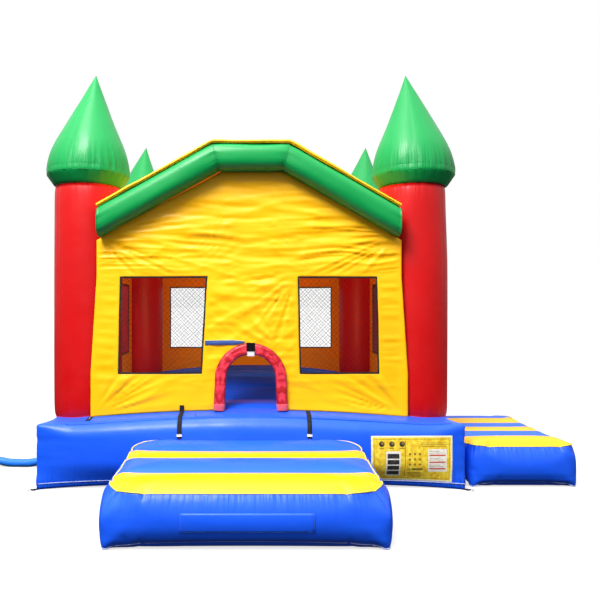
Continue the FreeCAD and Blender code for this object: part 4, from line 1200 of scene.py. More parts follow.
def make_windows():
    wall_face = -WALL_LOW.y
    net_depth = wall_face - 0.0045
    tape_depth = wall_face + 0.0018
    for name, sy, seed in (("front", -1, 61), ("rear", 1, 65)):
        make_net(f"net_cords_{name}", END_WINDOWS, on_end(sy, net_depth), f"net_{name}", seed,
                 FRONT_STRAND if sy < 0 else STRAND)
        make_binding(f"window_tape_{name}", END_WINDOWS, on_end(sy, tape_depth), f"binding_{name}", seed + 2)
    for name, sx, seed in (("right", 1, 71), ("left", -1, 75)):
        make_net(f"net_cords_{name}", [SIDE_WINDOW], on_side(sx, SIDE_WALL_X - 0.0045), f"net_{name}", seed)
        make_binding(f"window_tape_{name}", [SIDE_WINDOW], on_side(sx, SIDE_WALL_X + 0.0018),
                     f"binding_{name}",
                     seed + 2)


# The door

def arch_path(radius, steps):
    """The line of a round-headed arch of a given radius, from foot to foot."""
    foot_x = radius + DOOR_SPLAY
    foot_z = crown_height(foot_x, WALL_LOW.y) + 0.004
    legs = np.linspace(0, 1, steps // 3)
    left = np.stack([-mix(foot_x, radius, legs), mix(foot_z, DOOR_SPRING_Z, legs)], axis=1)
    turn = np.linspace(math.pi, 0, steps)[1:-1]
    head = np.stack([radius * np.cos(turn), DOOR_SPRING_Z + radius * np.sin(turn)], axis=1)
    right = left[::-1] * np.array([-1, 1])
    line = np.concatenate([left, head, right])
    return np.stack([line[:, 0], np.zeros(len(line)), line[:, 1]], axis=1)


def make_door_band():
    low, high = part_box("door_band")
    radius = (DOOR_OUTER + DOOR_INNER) / 2
    path = resample(arch_path(radius, 120), 230)
    path[:, 1] = (low.y + high.y) / 2
    along = frames(path)
    outward = np.cross(along, [0.0, -1.0, 0.0]) * -1.0
    front = np.tile([0.0, -1.0, 0.0], (len(path), 1))
    turn = np.linspace(0, 2 * math.pi, 48, endpoint=False)
    power = 0.55
    half_wide = (DOOR_OUTER - DOOR_INNER) / 2
    half_deep = (high.y - low.y) / 2
    wide = np.sign(np.cos(turn)) * np.abs(np.cos(turn)) ** power
    deep = np.sign(np.sin(turn)) * np.abs(np.sin(turn)) ** power
    travelled = lengths(path)
    s, t = np.meshgrid(travelled, turn, indexing="ij")
    crease = 1.5 * (ridges(s * 11 + 0.8 * noise(s * 4, t, 81), t * 0.5, 82) - 0.4)
    inner_side = 0.6 + 0.4 * smooth(0.2, -0.8, np.cos(t))
    swell = 1 - 0.030 * crease * inner_side + 0.015 * noise(s * 5, t * 0.8, 83)
    to_foot = np.minimum(s, travelled[-1] - s)
    swell = swell * (1 - 0.10 * np.exp(-to_foot / 0.03))
    section = np.stack([wide[None] * half_wide * swell * 0.985,
                        deep[None] * half_deep * swell * 0.985], axis=-1)
    points = sweep(path, section, outward, front)
    obj = piece("door_padding", points, capped(len(path), 48), door_satin, replaces=["door_band"],
                slot="red_satin")
    tag(obj, along=np.repeat(travelled, 48))
    # how far each point faces front or back; the satin paints shade on the band's sides where this is low
    front_share_for_painted_side_shade = np.tile(1 - np.abs(wide), (len(path), 1))
    tag(obj, beside=front_share_for_painted_side_shade)
    # the sewn hem at each foot
    for side, row in (("left", 5), ("right", len(path) - 6)):
        rows = points[row - 5:row + 6]
        centre = rows.mean(axis=1, keepdims=True)
        grown = centre + (rows - centre) * 1.018
        hem = piece(f"door_hem_{side}", grown, grid_faces(11, 48, wrap_v=True), hem_cloth, slot="red_satin")
        thicken(hem, 0.0016)
    return points


def make_door_trim():
    # the tie strip: a folded ribbon from the band's top to the left window's edge
    low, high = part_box("door_tie_strip")
    xs = np.linspace(low.x, high.x, 60)
    share = (xs - low.x) / (high.x - low.x)
    y = low.y - 0.002 - 0.006 * np.sin(share * math.pi) - 0.004 * smooth(0.8, 1.0, share)
    top = np.interp(share, [0.0, 0.72, 1.0], [high.z - 0.004, high.z, high.z - 0.010])
    bottom = np.interp(share, [0.0, 0.76, 1.0], [low.z, low.z + 0.002, high.z - 0.028])
    rows = []
    for k in np.linspace(0, 1, 9):
        curl = 0.004 * math.sin(k * math.pi) + 0.0015 * noise(xs * 12, k * 3, 91)
        rows.append(np.stack([xs, y - curl, mix(bottom, top, k)], axis=-1))
    obj = piece("tie_ribbon", np.stack(rows, axis=1), grid_faces(60, 9), tie_cloth,
                replaces=["door_tie_strip"], slot="blue_vinyl")
    thicken(obj, 0.0018)
    subdivide(obj, 1)
    # the upper edge gets a pale welt; the dark line along the lower edge is a painted shadow under the raised
    # strip, drawn as a dark thread
    for label, line, colour in (("upper", rows[-1], rim_welt), ("lower", rows[0], dark_thread)):
        edge = line + np.array([0.0, -0.0022, 0.0])
        tube(f"tie_welt_and_shadow_line_{label}", edge, 0.0022, 5, colour, slot="blue_vinyl")


# Straps, panel and anchors

def over_shelf(x, y_wall, y_end, z_end=None, lift=0.0035, steps=60):
    """A line from a wall's foot out over the base's edge at x, and down its front to z_end."""
    ys = np.linspace(y_wall, max(y_end, -HALF), steps)
    line = base_point(np.full(steps, x / HALF), ys / HALF, np.ones(steps))
    if z_end is not None:
        top = line[-1, 2]
        zs = np.linspace(top - 0.004, z_end, 26)
        front = base_front(np.full(26, x), zs)
        line = np.concatenate([line[:-1], front])
    line = resample(line, 90)
    along = frames(line)
    normal = np.cross(np.tile([1.0, 0.0, 0.0], (90, 1)), along)
    normal *= np.sign(normal[:, 2:3] - normal[:, 1:2] + 1e-9)
    return line + normal * lift, normal


def turn_to_right(points):
    """From the front of the house to its right side: a quarter turn."""
    return np.stack([-points[:, 1], points[:, 0], points[:, 2]], axis=1)


def make_straps():
    low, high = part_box("front_pad_straps")
    width = 0.043
    centres = (low.x + width / 2, high.x - width / 2)
    parts = []
    for number, x in enumerate(centres):
        line, normal = over_shelf(x, high.y - 0.002, low.y, low.z)
        if number == 0:
            up = line[0] + np.array([[0.0, 0.0, rise] for rise in (0.060, 0.045, 0.030, 0.015)])
            line = np.concatenate([up, line])
            normal = np.concatenate([np.tile([[0.0, -1.0, 0.0]], (4, 1)), normal])
        lean = 0.010 * (-1 if x < 0 else 1) * np.linspace(0, 1, len(line)) ** 1.5
        line[:, 0] -= lean * 0.6
        strap = ribbon(f"pad_strap_{number + 1}", line, normal, width, 0.0026, black_web,
                       slot="black_webbing", replaces=["front_pad_straps"] if number == 0 else ())
        parts.append(strap)
        row = int(len(line) * 0.92)
        tag_normal = normal[row - 3:row + 3]
        tag_line = line[row - 3:row + 3] + tag_normal * 0.0030
        ribbon(f"pad_strap_tag_{number + 1}", tag_line, tag_normal, width + 0.006, 0.0016, white_tag,
               slot="white_tag")
    low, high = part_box("side_pad_straps")
    for number, y in enumerate((low.y + width / 2, high.y - width / 2)):
        line, normal = over_shelf(y, -low.x - 0.002, -high.x, low.z)
        ribbon(f"side_strap_{number + 1}", turn_to_right(line), turn_to_right(normal), width, 0.0026,
               black_web,
               slot="black_webbing", replaces=["side_pad_straps"] if number == 0 else ())
    low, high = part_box("corner_strap")
    line, normal = over_shelf((low.x + high.x) / 2, high.y, low.y)
    ribbon("foot_strap", line, normal, width, 0.0028, black_web, slot="black_webbing",
           replaces=["corner_strap"])
    rivets, faces = [], []
    for row in (24, 44):
        turn = np.linspace(0, 2 * math.pi, 16, endpoint=False)
        for radius, rise in ((0.0055, 0.0016), (0.0048, 0.0030), (0.0022, 0.0034)):
            ring = line[row] + normal[row] * rise
            rivets.append(ring + np.stack([radius * np.cos(turn), radius * np.sin(turn), 0 * turn], axis=1))
        start = (len(rivets) - 3) * 16
        faces += grid_faces(3, 16, wrap_v=True, start=start)
        faces.append([start + 32 + i for i in range(16)])
    piece("foot_strap_studs", np.array(rivets), faces, steel, slot="steel")


def on_front(u, v, out):
    """A point on the base's front face, out in front of the cloth."""
    point = base_front(u, v)
    return point - np.stack([0 * point[..., 0], 0 * point[..., 0] + out, 0 * point[..., 0]], axis=-1)


def printed(name):
    """Printed vinyl: gold ground that is a little uneven."""
    made = Nodes(name)
    place = made.position()
    blotch = made.level(made.noise(place, 26.0, 4.0, 0.6), 0.38, 0.62, 0.0, 1.0)
    base = made.blend(blotch, rgb(228, 178, 30), rgb(248, 226, 70))
    normal = made.bump(made.weave(place, 0.0018), 0.15, 0.0006)
    return made.finish(base, 0.38, normal, Coat_Weight=0.3, Coat_Roughness=0.15)


def ink(name, colour):
    made = Nodes(name)
    place = made.position()
    base = made.blend(made.level(made.noise(place, 60.0, 3.0), 0.4, 0.7, 0.0, 0.3), colour, rgb(120, 110, 80))
    return made.finish(base, 0.42, made.bump(made.weave(place, 0.0018), 0.15, 0.0006))


def make_panel():
    """A generic notice: a bordered gold sheet with blank blocks, rows and round marks."""
    low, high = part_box("instruction_panel")
    gold = printed("panel_gold")
    inks = [ink("ink_dark", rgb(34, 34, 40)), ink("ink_white", rgb(240, 238, 228)),
            ink("ink_red", rgb(206, 72, 48)), ink("ink_brown", rgb(150, 112, 30)),
            ink("ink_border", rgb(250, 244, 190))]
    dark, white, red, brown, border = range(5)
    u, v = np.meshgrid(np.linspace(low.x, high.x, 60), np.linspace(low.z, high.z, 36), indexing="ij")
    sheet = piece("notice_panel", on_front(u, v, 0.0022), grid_faces(60, 36), gold,
                  replaces=["instruction_panel"], slot="printed_panel")
    thicken(sheet, 0.0012)
    width, height = high.x - low.x, high.z - low.z
    points, faces, tints = [], [], []

    def block(u0, u1, v0, v1, tint, layer=1):
        """A printed rectangle, in shares of the panel from its lower left."""
        columns = max(2, int((u1 - u0) * 40) + 2)
        rows = max(2, int((v1 - v0) * 24) + 2)
        bu, bv = np.meshgrid(low.x + width * np.linspace(u0, u1, columns),
                             low.z + height * np.linspace(v0, v1, rows), indexing="ij")
        start = sum(len(p) for p in points)
        points.append(on_front(bu, bv, 0.0031 + 0.0004 * layer).reshape(-1, 3))
        made = grid_faces(columns, rows, start=start)
        faces.extend(made)
        tints.extend([tint] * len(made))

    def disc(cu, cv, radius, tint, layer=1, sides=12):
        turn = np.linspace(0, 2 * math.pi, sides, endpoint=False)
        bu = low.x + width * cu + radius * np.cos(turn)
        bv = low.z + height * cv + radius * np.sin(turn)
        start = sum(len(p) for p in points)
        points.append(on_front(bu, bv, 0.0031 + 0.0004 * layer))
        faces.append([start + i for i in range(sides)])
        tints.append(tint)

    edges = ((0, 1, 0.965, 1), (0, 1, 0, 0.035), (0, 0.02, 0.035, 0.965), (0.98, 1, 0.035, 0.965))
    for u0, u1, v0, v1 in edges:
        block(u0, u1, v0, v1, border, 0)
    for i in range(44):
        share = 0.035 + 0.93 * i / 44
        block(share, share + 0.012, 0.925, 0.940, brown)
        block(share, share + 0.012, 0.055, 0.070, brown)
    for i in range(24):
        share = 0.075 + 0.85 * i / 24
        block(0.032, 0.040, share, share + 0.018, brown)
        block(0.960, 0.968, share, share + 0.018, brown)
    for i in range(3):
        centre = 0.13 + 0.125 * i
        disc(centre, 0.83, 0.026, dark)
        disc(centre + 0.008, 0.845, 0.012, brown, 2)
        block(centre - 0.030, centre + 0.026, 0.735, 0.752, brown)
    for i in range(4):
        block(0.20, 0.345, 0.145 + 0.128 * i, 0.245 + 0.128 * i, dark)
    block(0.185, 0.360, 0.115, 0.680, white, 0)
    block(0.415, 0.422, 0.09, 0.90, brown)
    for i in range(3):
        for j in range(3):
            disc(0.475 + 0.062 * i, 0.62 - 0.11 * j, 0.011, brown)
    block(0.50, 0.635, 0.275, 0.305, dark)
    block(0.440, 0.485, 0.275, 0.300, brown)
    for i in range(4):
        block(0.44 + 0.02 * i, 0.62, 0.20 - 0.035 * i, 0.212 - 0.035 * i, brown)
    block(0.70, 0.93, 0.23, 0.72, white, 0)
    for i in range(3):
        block(0.715, 0.915, 0.285 + 0.145 * i, 0.315 + 0.145 * i, red)
        for j in range(2):
            block(0.72, 0.90 - 0.05 * j, 0.345 + 0.145 * i + 0.035 * j, 0.352 + 0.145 * i + 0.035 * j, brown)
    for i in range(3):
        block(0.62, 0.93, 0.775 + 0.035 * i, 0.785 + 0.035 * i, brown)
    mesh = piece("notice_print", np.concatenate(points), faces, inks, slot="printed_panel", shade=False)
    mesh.data.polygons.foreach_set("material_index", tints)
    mesh.data.update()


def make_anchors():
    """Webbing tails that lie out from under each corner and loop round their ring's bar."""
    width, thick = 0.036, 0.0025
    for number, (corner, sx, sy) in enumerate(CORNERS):
        low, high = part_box(f"anchor_ring_{corner}")
        direction = np.array([sx, sy, 0.0]) / math.sqrt(2)
        level = (low.z + high.z) / 2
        eye = np.array([sx, sy, 0.0]) * (2.83 / math.sqrt(2))
        loop_radius = 0.0048
        line, normal = [], []
        for share in np.linspace(0, 1, 16)[:-1]:
            out = mix(-0.112, 0.0, share)
            line.append(eye + direction * out + np.array([0, 0, 0.0014]))
            normal.append((0, 0, 1))
        for turn in np.linspace(-90, 150, 13):
            a = math.radians(turn)
            radial = direction * math.cos(a) + np.array([0, 0, math.sin(a)])
            line.append(eye + np.array([0, 0, level]) + radial * loop_radius)
            normal.append(-radial)
        for share in np.linspace(0, 1, 6)[1:]:
            out = mix(-0.005, -0.046, share)
            line.append(eye + direction * out + np.array([0, 0, mix(level + 0.002, 0.0044, share)]))
            normal.append((0, 0, -1))
        ribbon(f"anchor_tail_{corner}", line, normal, width, thick, black_web, slot="black_webbing",
               replaces=["anchor_loops"] if number == 0 else ())


def make_zip():
    low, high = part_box("zip_tape")
    xs = np.linspace(low.x, high.x, 80)
    z = np.linspace(low.z, high.z, 8)
    x, zz = np.meshgrid(xs, z, indexing="ij")
    middle = (low.z + high.z) / 2
    y = low.y + 0.0006 + 0.0010 * (1 - np.abs(zz - middle) / (high.z - middle))
    y = y + 0.0004 * noise(x * 14, zz * 60, 95)
    tape = piece("zip_cloth", np.stack([x, y, zz], axis=-1), grid_faces(80, 8), black_web,
                 replaces=["zip_tape"], slot="black_webbing")
    tag(tape, run=x, cross=zz - middle)
    thicken(tape, 0.0010)
    points, faces = [], []
    pitch = 0.0042
    count = int((high.x - low.x - 0.02) / pitch)
    for i in range(count):
        centre_x = low.x + 0.01 + pitch * i
        offset = 0.0012 if i % 2 else -0.0012
        x0, x1 = centre_x - 0.0015, centre_x + 0.0015
        y0, y1 = high.y - 0.0008, high.y + 0.0006
        z0, z1 = middle + offset - 0.0030, middle + offset + 0.0030
        start = len(points)
        points += [(x0, y0, z0), (x1, y0, z0), (x1, y1, z0 + 0.0006), (x0, y1, z0 + 0.0006),
                   (x0, y0, z1), (x1, y0, z1), (x1, y1, z1 - 0.0006), (x0, y1, z1 - 0.0006)]
        faces += [[start + k for k in quad] for quad in
                  ((0, 1, 2, 3), (7, 6, 5, 4), (0, 4, 5, 1), (1, 5, 6, 2), (2, 6, 7, 3), (3, 7, 4, 0))]
    piece("zip_teeth", np.array(points), faces, black_plastic, slot="black_plastic", shade=False)


# Landing pads

def pad_start(lows, highs, top_low_y, top_high_y, rim_corner):
    """The map from a pad's box to the shape that its cover is cut to, before air fills it."""
    centre = (np.array(lows) + np.array(highs)) / 2
    half = (np.array(highs) - np.array(lows)) / 2

    def place(a, b, c):
        top = mix(top_low_y, top_high_y, (b + 1) / 2)
        corner = mix(0.05, rim_corner, smooth(0.45, 1.0, c) ** 1.2)
        x = a * half[0]
        y0 = b * half[1]
        out_x, out_y = np.abs(x) - (half[0] - corner), np.abs(y0) - (half[1] - corner)
        in_corner = (out_x > 0) & (out_y > 0)
        reach = np.maximum(np.hypot(out_x, out_y), 1e-9)
        share = np.where(in_corner, np.maximum(out_x, out_y) / reach, 1.0)
        new_x = np.where(in_corner, half[0] - corner + out_x * share, np.abs(x)) * np.sign(x)
        new_y = np.where(in_corner, half[1] - corner + out_y * share, np.abs(y0)) * np.sign(y0)
        # drawn in at the rim, so that the air pushes the side out below it
        pull = 1 - 0.016 * smooth(0.70, 1.0, c)
        z = 0.004 + c * (top - 0.004)
        return np.stack([centre[0] + new_x * pull, centre[1] + new_y * pull, z], axis=-1)

    return place


def inflate(obj, frames_run, pressure, cap):
    """Lets air swell a cover that is tied inside by loose edges, and keeps each point near its start."""
    start = coordinates(obj)
    modifier = obj.modifiers.new("air", "CLOTH")
    settings = modifier.settings
    settings.quality = 6
    settings.mass = 0.35
    settings.tension_stiffness, settings.compression_stiffness = 70.0, 20.0
    settings.shear_stiffness, settings.bending_stiffness = 18.0, 0.25
    settings.tension_damping = settings.compression_damping = settings.shear_damping = 14.0
    settings.air_damping = 4.0
    settings.use_pressure = True
    settings.uniform_pressure_force = pressure
    settings.effector_weights.gravity = 0.0
    modifier.collision_settings.use_collision = False
    modifier.point_cache.frame_start, modifier.point_cache.frame_end = 1, frames_run
    scene = bpy.context.scene
    for number in range(1, frames_run + 1):
        scene.frame_set(number)
    apply_modifiers(obj)
    scene.frame_set(1)
    moved = coordinates(obj) - start
    size = np.linalg.norm(moved, axis=1, keepdims=True)
    set_coordinates(obj, start + moved * np.minimum(1.0, cap / np.maximum(size, 1e-9)))


def drop_loose_edges(obj):
    work = bmesh.new()
    work.from_mesh(obj.data)
    bmesh.ops.delete(work, geom=[e for e in work.edges if not e.link_faces], context="EDGES_FACES")
    work.to_mesh(obj.data)
    work.free()


def make_pad(name, body, node, lows, highs, top_front, top_back, rim_corner, ties, top_material, seed):
    """A landing pad: striped top, plain sides, ties under each seam between stripes."""
    place = pad_start(lows, highs, top_front, top_back, rim_corner)
    step = 0.030
    xs = np.linspace(-1, 1, round((highs[0] - lows[0]) / step) + 1)
    ys = np.linspace(-1, 1, round((highs[1] - lows[1]) / step) + 1)
    zs = np.linspace(0, 1, round(top_front / step) + 1)
    places, quads, sides = box_surface(xs, ys, zs)
    a, b, c = xs[places[:, 0]], ys[places[:, 1]], zs[places[:, 2]]
    points = place(a, b, c)
    number = {tuple(p): i for i, p in enumerate(places)}
    loose = []
    share = (b + 1) / 2
    span = highs[1] - lows[1]
    for tie in ties:
        row = int(np.argmin(np.abs((ys + 1) / 2 * span - tie)))
        for i in range(6, len(xs) - 6):
            loose.append((number[(i, row, 0)], number[(i, row, len(zs) - 1)]))
    mesh = bpy.data.meshes.new(name)
    mesh.from_pydata(points.tolist(), loose, quads)
    mesh.update()
    obj = bpy.data.objects.new(name, mesh)
    bpy.context.scene.collection.objects.link(obj)
    from_top = np.where(c >= 1, 0.0, (1 - c) * top_front)
    around = np.where(np.abs(a) >= 1, b * (highs[1] - lows[1]) / 2, a * (highs[0] - lows[0]) / 2)
    tags = {"run": share * span, "beside": from_top, "along": around}
    around = [i for i, p in enumerate(places) if p[0] in (0, len(xs) - 1) or p[1] in (0, len(ys) - 1)]
    rim = [i for i in around if places[i][2] == len(zs) - 1]
    foot = [i for i in around if places[i][2] == 0]
    inflate(obj, 24, 4.2, 0.060)
    drop_loose_edges(obj)
    shape = coordinates(obj)
    # nothing goes into the ground
    shape[:, 2] = np.maximum(shape[:, 2], 0.003)
    # the seam round the foot rises between the corners
    edge_a, edge_b = np.abs(a), np.abs(b)
    rise = np.maximum((edge_a >= 1) * (1 - edge_b ** 3), (edge_b >= 1) * (1 - edge_a ** 3))
    shape[:, 2] += 0.026 * rise * (c <= 0) + 0.014 * rise * (c > 0) * (c < 0.12)
    tag(obj, **tags)
    set_coordinates(obj, shape)
    for material in (blue_vinyl, top_material):
        obj.data.materials.append(material)
    top_faces = [1 if axis == 2 and end > 0 else 0 for axis, end in sides]
    obj.data.polygons.foreach_set("material_index", top_faces)
    obj.data.polygons.foreach_set("use_smooth", [True] * len(top_faces))
    rim_line, foot_line = (shape[np.array(edge)[np.argsort(np.arctan2(b[edge] * span,
                                                                      a[edge] * (highs[0] - lows[0])))]]
                           for edge in (rim, foot))
    subdivide(obj, 1)
    apply_modifiers(obj)
    # short gathers hang from the rim, and a few level ones stand at the foot's corners
    shape = coordinates(obj)
    beside = np.empty(len(obj.data.vertices), np.float32)
    along = beside.copy()
    obj.data.attributes["beside"].data.foreach_get("value", beside)
    obj.data.attributes["along"].data.foreach_get("value", along)
    centre = (np.array(lows) + np.array(highs)) / 2
    outward = shape - centre
    outward[:, 2] = 0
    outward /= np.maximum(np.linalg.norm(outward, axis=1, keepdims=True), 1e-9)
    rim_fold = noise(along * 24, 0, seed) * 0.005 * np.exp(-beside / 0.06) * (beside > 0.004)
    foot_fold = noise(shape[:, 2] * 30, along, seed + 1) * 0.004 * np.exp(-shape[:, 2] / 0.10)
    shape += outward * (rim_fold + foot_fold * (beside > 0.02))[:, None]
    shape[:, 2] = np.maximum(shape[:, 2], 0.002)
    set_coordinates(obj, shape)
    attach(obj, body)
    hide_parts(node)
    rim_line = rim_line + np.array([0, 0, 0.002])
    for label, line, count, radius, material in (("rim", rim_line, 360, 0.0055, pad_welt),
                                                 ("foot", foot_line, 300, 0.0042, welt_cloth)):
        loop = resample(np.concatenate([line, line[:1]]), count)[:-1]
        tube(f"{name}_{label}_welt", loop, radius, 6, material, closed=True, body=body, slot="welt")


def make_pads():
    low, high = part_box("front_pad")
    depth = high.y - low.y
    # measured from the pad's front edge to its back
    front_stripes = [(0.0, PAD_YELLOW), (depth - 0.965, PAD_BLUE), (depth - 0.59, PAD_YELLOW),
                     (depth - 0.37, PAD_BLUE), (depth - 0.050, PAD_YELLOW)]
    seams = [start for start, _ in front_stripes[1:4]]
    top = vinyl("front_pad_top", PAD_BLUE, seams=seams, stripes=front_stripes, rough=0.42)
    make_pad("front_pad_cover", "front_pad", "front_pad", (low.x - 0.040, low.y, 0.0),
             (high.x - 0.030, high.y - 0.010, high.z), 0.398, 0.474, 0.27, seams, top, 101)
    low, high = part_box("side_pad")
    edges = [0.0, 0.36, 0.65, 0.87, 1.08, 1.34]
    tints = [PAD_YELLOW, PAD_BLUE] * 3
    side_stripes = list(zip(edges, tints))
    top = vinyl("side_pad_top", PAD_BLUE, seams=edges[1:], stripes=side_stripes, rough=0.42)
    make_pad("side_pad_cover", "side_pad", "side_pad", (low.x + 0.050, low.y, 0.0), (high.x, high.y, high.z),
             0.388, 0.392, 0.11, edges[1:], top, 111)


def make_vent():
    """The sewn-on cover on the front pad: a blue patch with a stitched edge."""
    low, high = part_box("front_pad_vent")
    pad = bpy.data.objects["front_pad_cover"]
    tree_points = coordinates(pad)
    face = tree_points[(tree_points[:, 1] < low.y + 0.35) & (np.abs(tree_points[:, 0]) < 0.75)]

    def front_of(x, z):
        apart = (face[:, 0] - x) ** 2 + (face[:, 2] - z) ** 2
        near = np.argpartition(apart, 6)[:6]
        weight = 1 / (apart[near] + 1e-5)
        return float((face[near, 1] * weight).sum() / weight.sum())

    xs, zs = np.linspace(low.x, high.x, 40), np.linspace(low.z, high.z, 10)
    points = np.array([[(x, front_of(x, z) - 0.0035, z) for z in zs] for x in xs])
    patch = piece("vent_flap", points, grid_faces(40, 10), blue_vinyl, body="front_pad",
                  replaces=["front_pad_vent"], slot="blue_vinyl")
    tag(patch, beside=np.full(400, 1.0), along=np.full(400, 0.0))
    thicken(patch, 0.0012)
    loop = np.concatenate([points[:, 0], points[-1, 1:], points[-2::-1, -1], points[0, -2:0:-1]])
    centre = points.reshape(-1, 3).mean(0)
    loop = centre + (loop - centre) * np.array([0.985, 1.0, 0.93]) + np.array([0, -0.0012, 0])
    tube("vent_stitch", loop, 0.0010, 5, vent_thread, closed=True, body="front_pad", slot="welt")


# The air tube

TUBE_RADIUS = 0.040
TUBE_ROUTE = [
    (-1.9805, -1.180, 0.1080), (-2.080, -1.180, 0.1080), (-2.180, -1.185, 0.0720), (-2.290, -1.192, 0.0410),
    (-2.420, -1.194, 0.0405), (-2.560, -1.184, 0.0420), (-2.650, -1.180, 0.0660), (-2.740, -1.180, 0.0660),
]


def make_tube():
    """The sleeve that brings the air, from the base's collar to the blower's outlet."""
    curve = bpy.data.curves.new("tube_line", "CURVE")
    curve.dimensions = "3D"
    line = curve.splines.new("NURBS")
    line.points.add(len(TUBE_ROUTE) - 1)
    for point, place in zip(line.points, TUBE_ROUTE):
        point.co = (*place, 1.0)
    line.order_u = 3
    line.use_endpoint_u = True
    line.resolution_u = 16
    guide = bpy.data.objects.new("tube_line", curve)
    mesh = bpy.data.meshes.new_from_object(guide)
    path = resample([tuple(v.co) for v in mesh.vertices], 120)
    bpy.data.objects.remove(guide)
    along = frames(path)
    side = np.cross(along, [0.0, 0.0, 1.0])
    side /= np.linalg.norm(side, axis=1, keepdims=True)
    up = np.cross(side, along)
    turn = turns(40)
    s, a = np.meshgrid(lengths(path), turn, indexing="ij")
    total = lengths(path)[-1]
    to_end = np.minimum(s, total - s)
    r = TUBE_RADIUS - 0.0012 + 0.0011 * noise(s * 16 + 2 * noise(a, s * 3, 131), a * 0.9, 132)
    r -= 0.0030 * ridges(s * 30, a * 0.6, 133) * np.exp(-to_end / 0.06)
    section = np.stack([r * np.cos(a), r * np.sin(a)], axis=-1)
    points = sweep(path, section, side, up)
    points[..., 2] = np.maximum(points[..., 2], 0.0006)
    obj = piece("air_sleeve", points, capped(len(path), 40), tube_vinyl, replaces=["air_tube"],
                slot="tube_vinyl")
    for label, angle in (("upper", 70), ("lower", 250)):
        a0 = math.radians(angle)
        radius = TUBE_RADIUS + 0.0004
        edge = path + side * math.cos(a0) * radius + up * math.sin(a0) * radius
        edge[:, 2] = np.maximum(edge[:, 2], 0.002)
        tube(f"sleeve_seam_{label}", edge[2:-2], 0.0016, 5, dark_thread, slot="tube_vinyl")
    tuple(TUBE_ROUTE[0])


def make_tube_ends():
    # the sewn collar on the base
    low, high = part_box("air_port")
    middle_y, middle_z = (low.y + high.y) / 2, (low.z + high.z) / 2
    turn = turns(64)
    profile = [(high.x, 0.0485), (high.x - 0.004, 0.0482), (mix(low.x, high.x, 0.5), 0.0462),
               (low.x + 0.006, 0.0455), (low.x, 0.0462), (low.x - 0.001, 0.0440), (low.x + 0.004, 0.0425),
               (high.x, 0.0430)]
    rings = []
    for x, radius in profile:
        r = radius + 0.0010 * noise(turn * 7, x * 90, 141)
        ring = [np.full(64, x), middle_y + r * np.cos(turn), middle_z + r * np.sin(turn)]
        rings.append(np.stack(ring, axis=1))
    collar = piece("sleeve_collar", np.array(rings), grid_faces(len(rings), 64, wrap_v=True), blue_vinyl,
                   replaces=["air_port"], slot="blue_vinyl")
    tag(collar, beside=np.full(len(rings) * 64, 0.02))
    tag(collar, along=np.tile(turn * 0.1, len(rings)))
    subdivide(collar, 1)
    # the strap round the blower's spigot, with its slide
    low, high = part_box("tube_strap")
    middle_y, middle_z = (low.y + high.y) / 2, (low.z + high.z) / 2
    inner, outer = 0.0443, 0.0470
    loop, normals = [], []
    for angle in np.linspace(80, 435, 80):
        a = math.radians(angle)
        radial = np.array([0, math.cos(a), math.sin(a)])
        loop.append(np.array([(low.x + high.x) / 2, middle_y, middle_z]) + radial * mix(inner, outer, 0.5))
        normals.append(radial)
    ribbon("sleeve_strap", loop, normals, high.x - low.x - 0.002, 0.0022, black_web,
           replaces=["tube_strap"], slot="black_webbing")
    centre = np.array([(low.x + high.x) / 2, middle_y, middle_z])
    half = (high.x - low.x) / 2
    bars, faces = [], []
    for y0, y1, x0, x1 in ((-0.012, -0.008, -half, half), (0.008, 0.012, -half, half),
                           (-0.002, 0.002, -half, half), (-0.012, 0.012, -half - 0.002, -half + 0.002),
                           (-0.012, 0.012, half - 0.002, half + 0.002)):
        add_box(bars, faces, [centre + np.array([x, y, z]) for z in (outer + 0.0008, outer + 0.0036)
                              for x, y in ((x0, y0), (x1, y0), (x1, y1), (x0, y1))])
    buckle = piece("sleeve_strap_slide", np.array(bars), faces, black_plastic, slot="black_plastic",
                   shade=False)
    bevel = buckle.modifiers.new("bevel", "BEVEL")
    bevel.width, bevel.segments = 0.0006, 2


# CAD pieces that keep their own shape

CAD_MATERIALS = {
    "blower_housing": blower_plastic, "blower_grille": black_plastic, "blower_impeller": black_plastic,
    "blower_motor": motor_metal, "blower_handle": black_plastic, "blower_stand": motor_metal,
    "blower_feet": rubber,
    "blower_switch_box": black_plastic, "blower_rocker": rocker_plastic, "blower_gland": black_plastic,
    "zip_slider": steel, "door_keeper": hook_tape("hook_tape"), "door_keeper_tag": white_tag,
    "anchor_ring_front_left": steel, "anchor_ring_front_right": steel,
    "anchor_ring_rear_left": steel, "anchor_ring_rear_right": steel,
}


def finish_cad_pieces():
    for node, material in CAD_MATERIALS.items():
        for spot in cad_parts[node].material_slots:
            spot.material = material
    # the stitches that hold the tag
    low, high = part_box("door_keeper_tag")
    middle_z = (low.z + high.z) / 2
    points = [(x * 0.86, low.y - 0.0006, mix(middle_z, z, 0.8))
              for x, z in ((low.x, low.z), (high.x, low.z), (high.x, high.z), (low.x, high.z))]
    tube("tag_stitch", resample(points + points[:1], 60)[:-1], 0.0008, 5, dark_thread, closed=True,
         slot="white_tag")


# The set

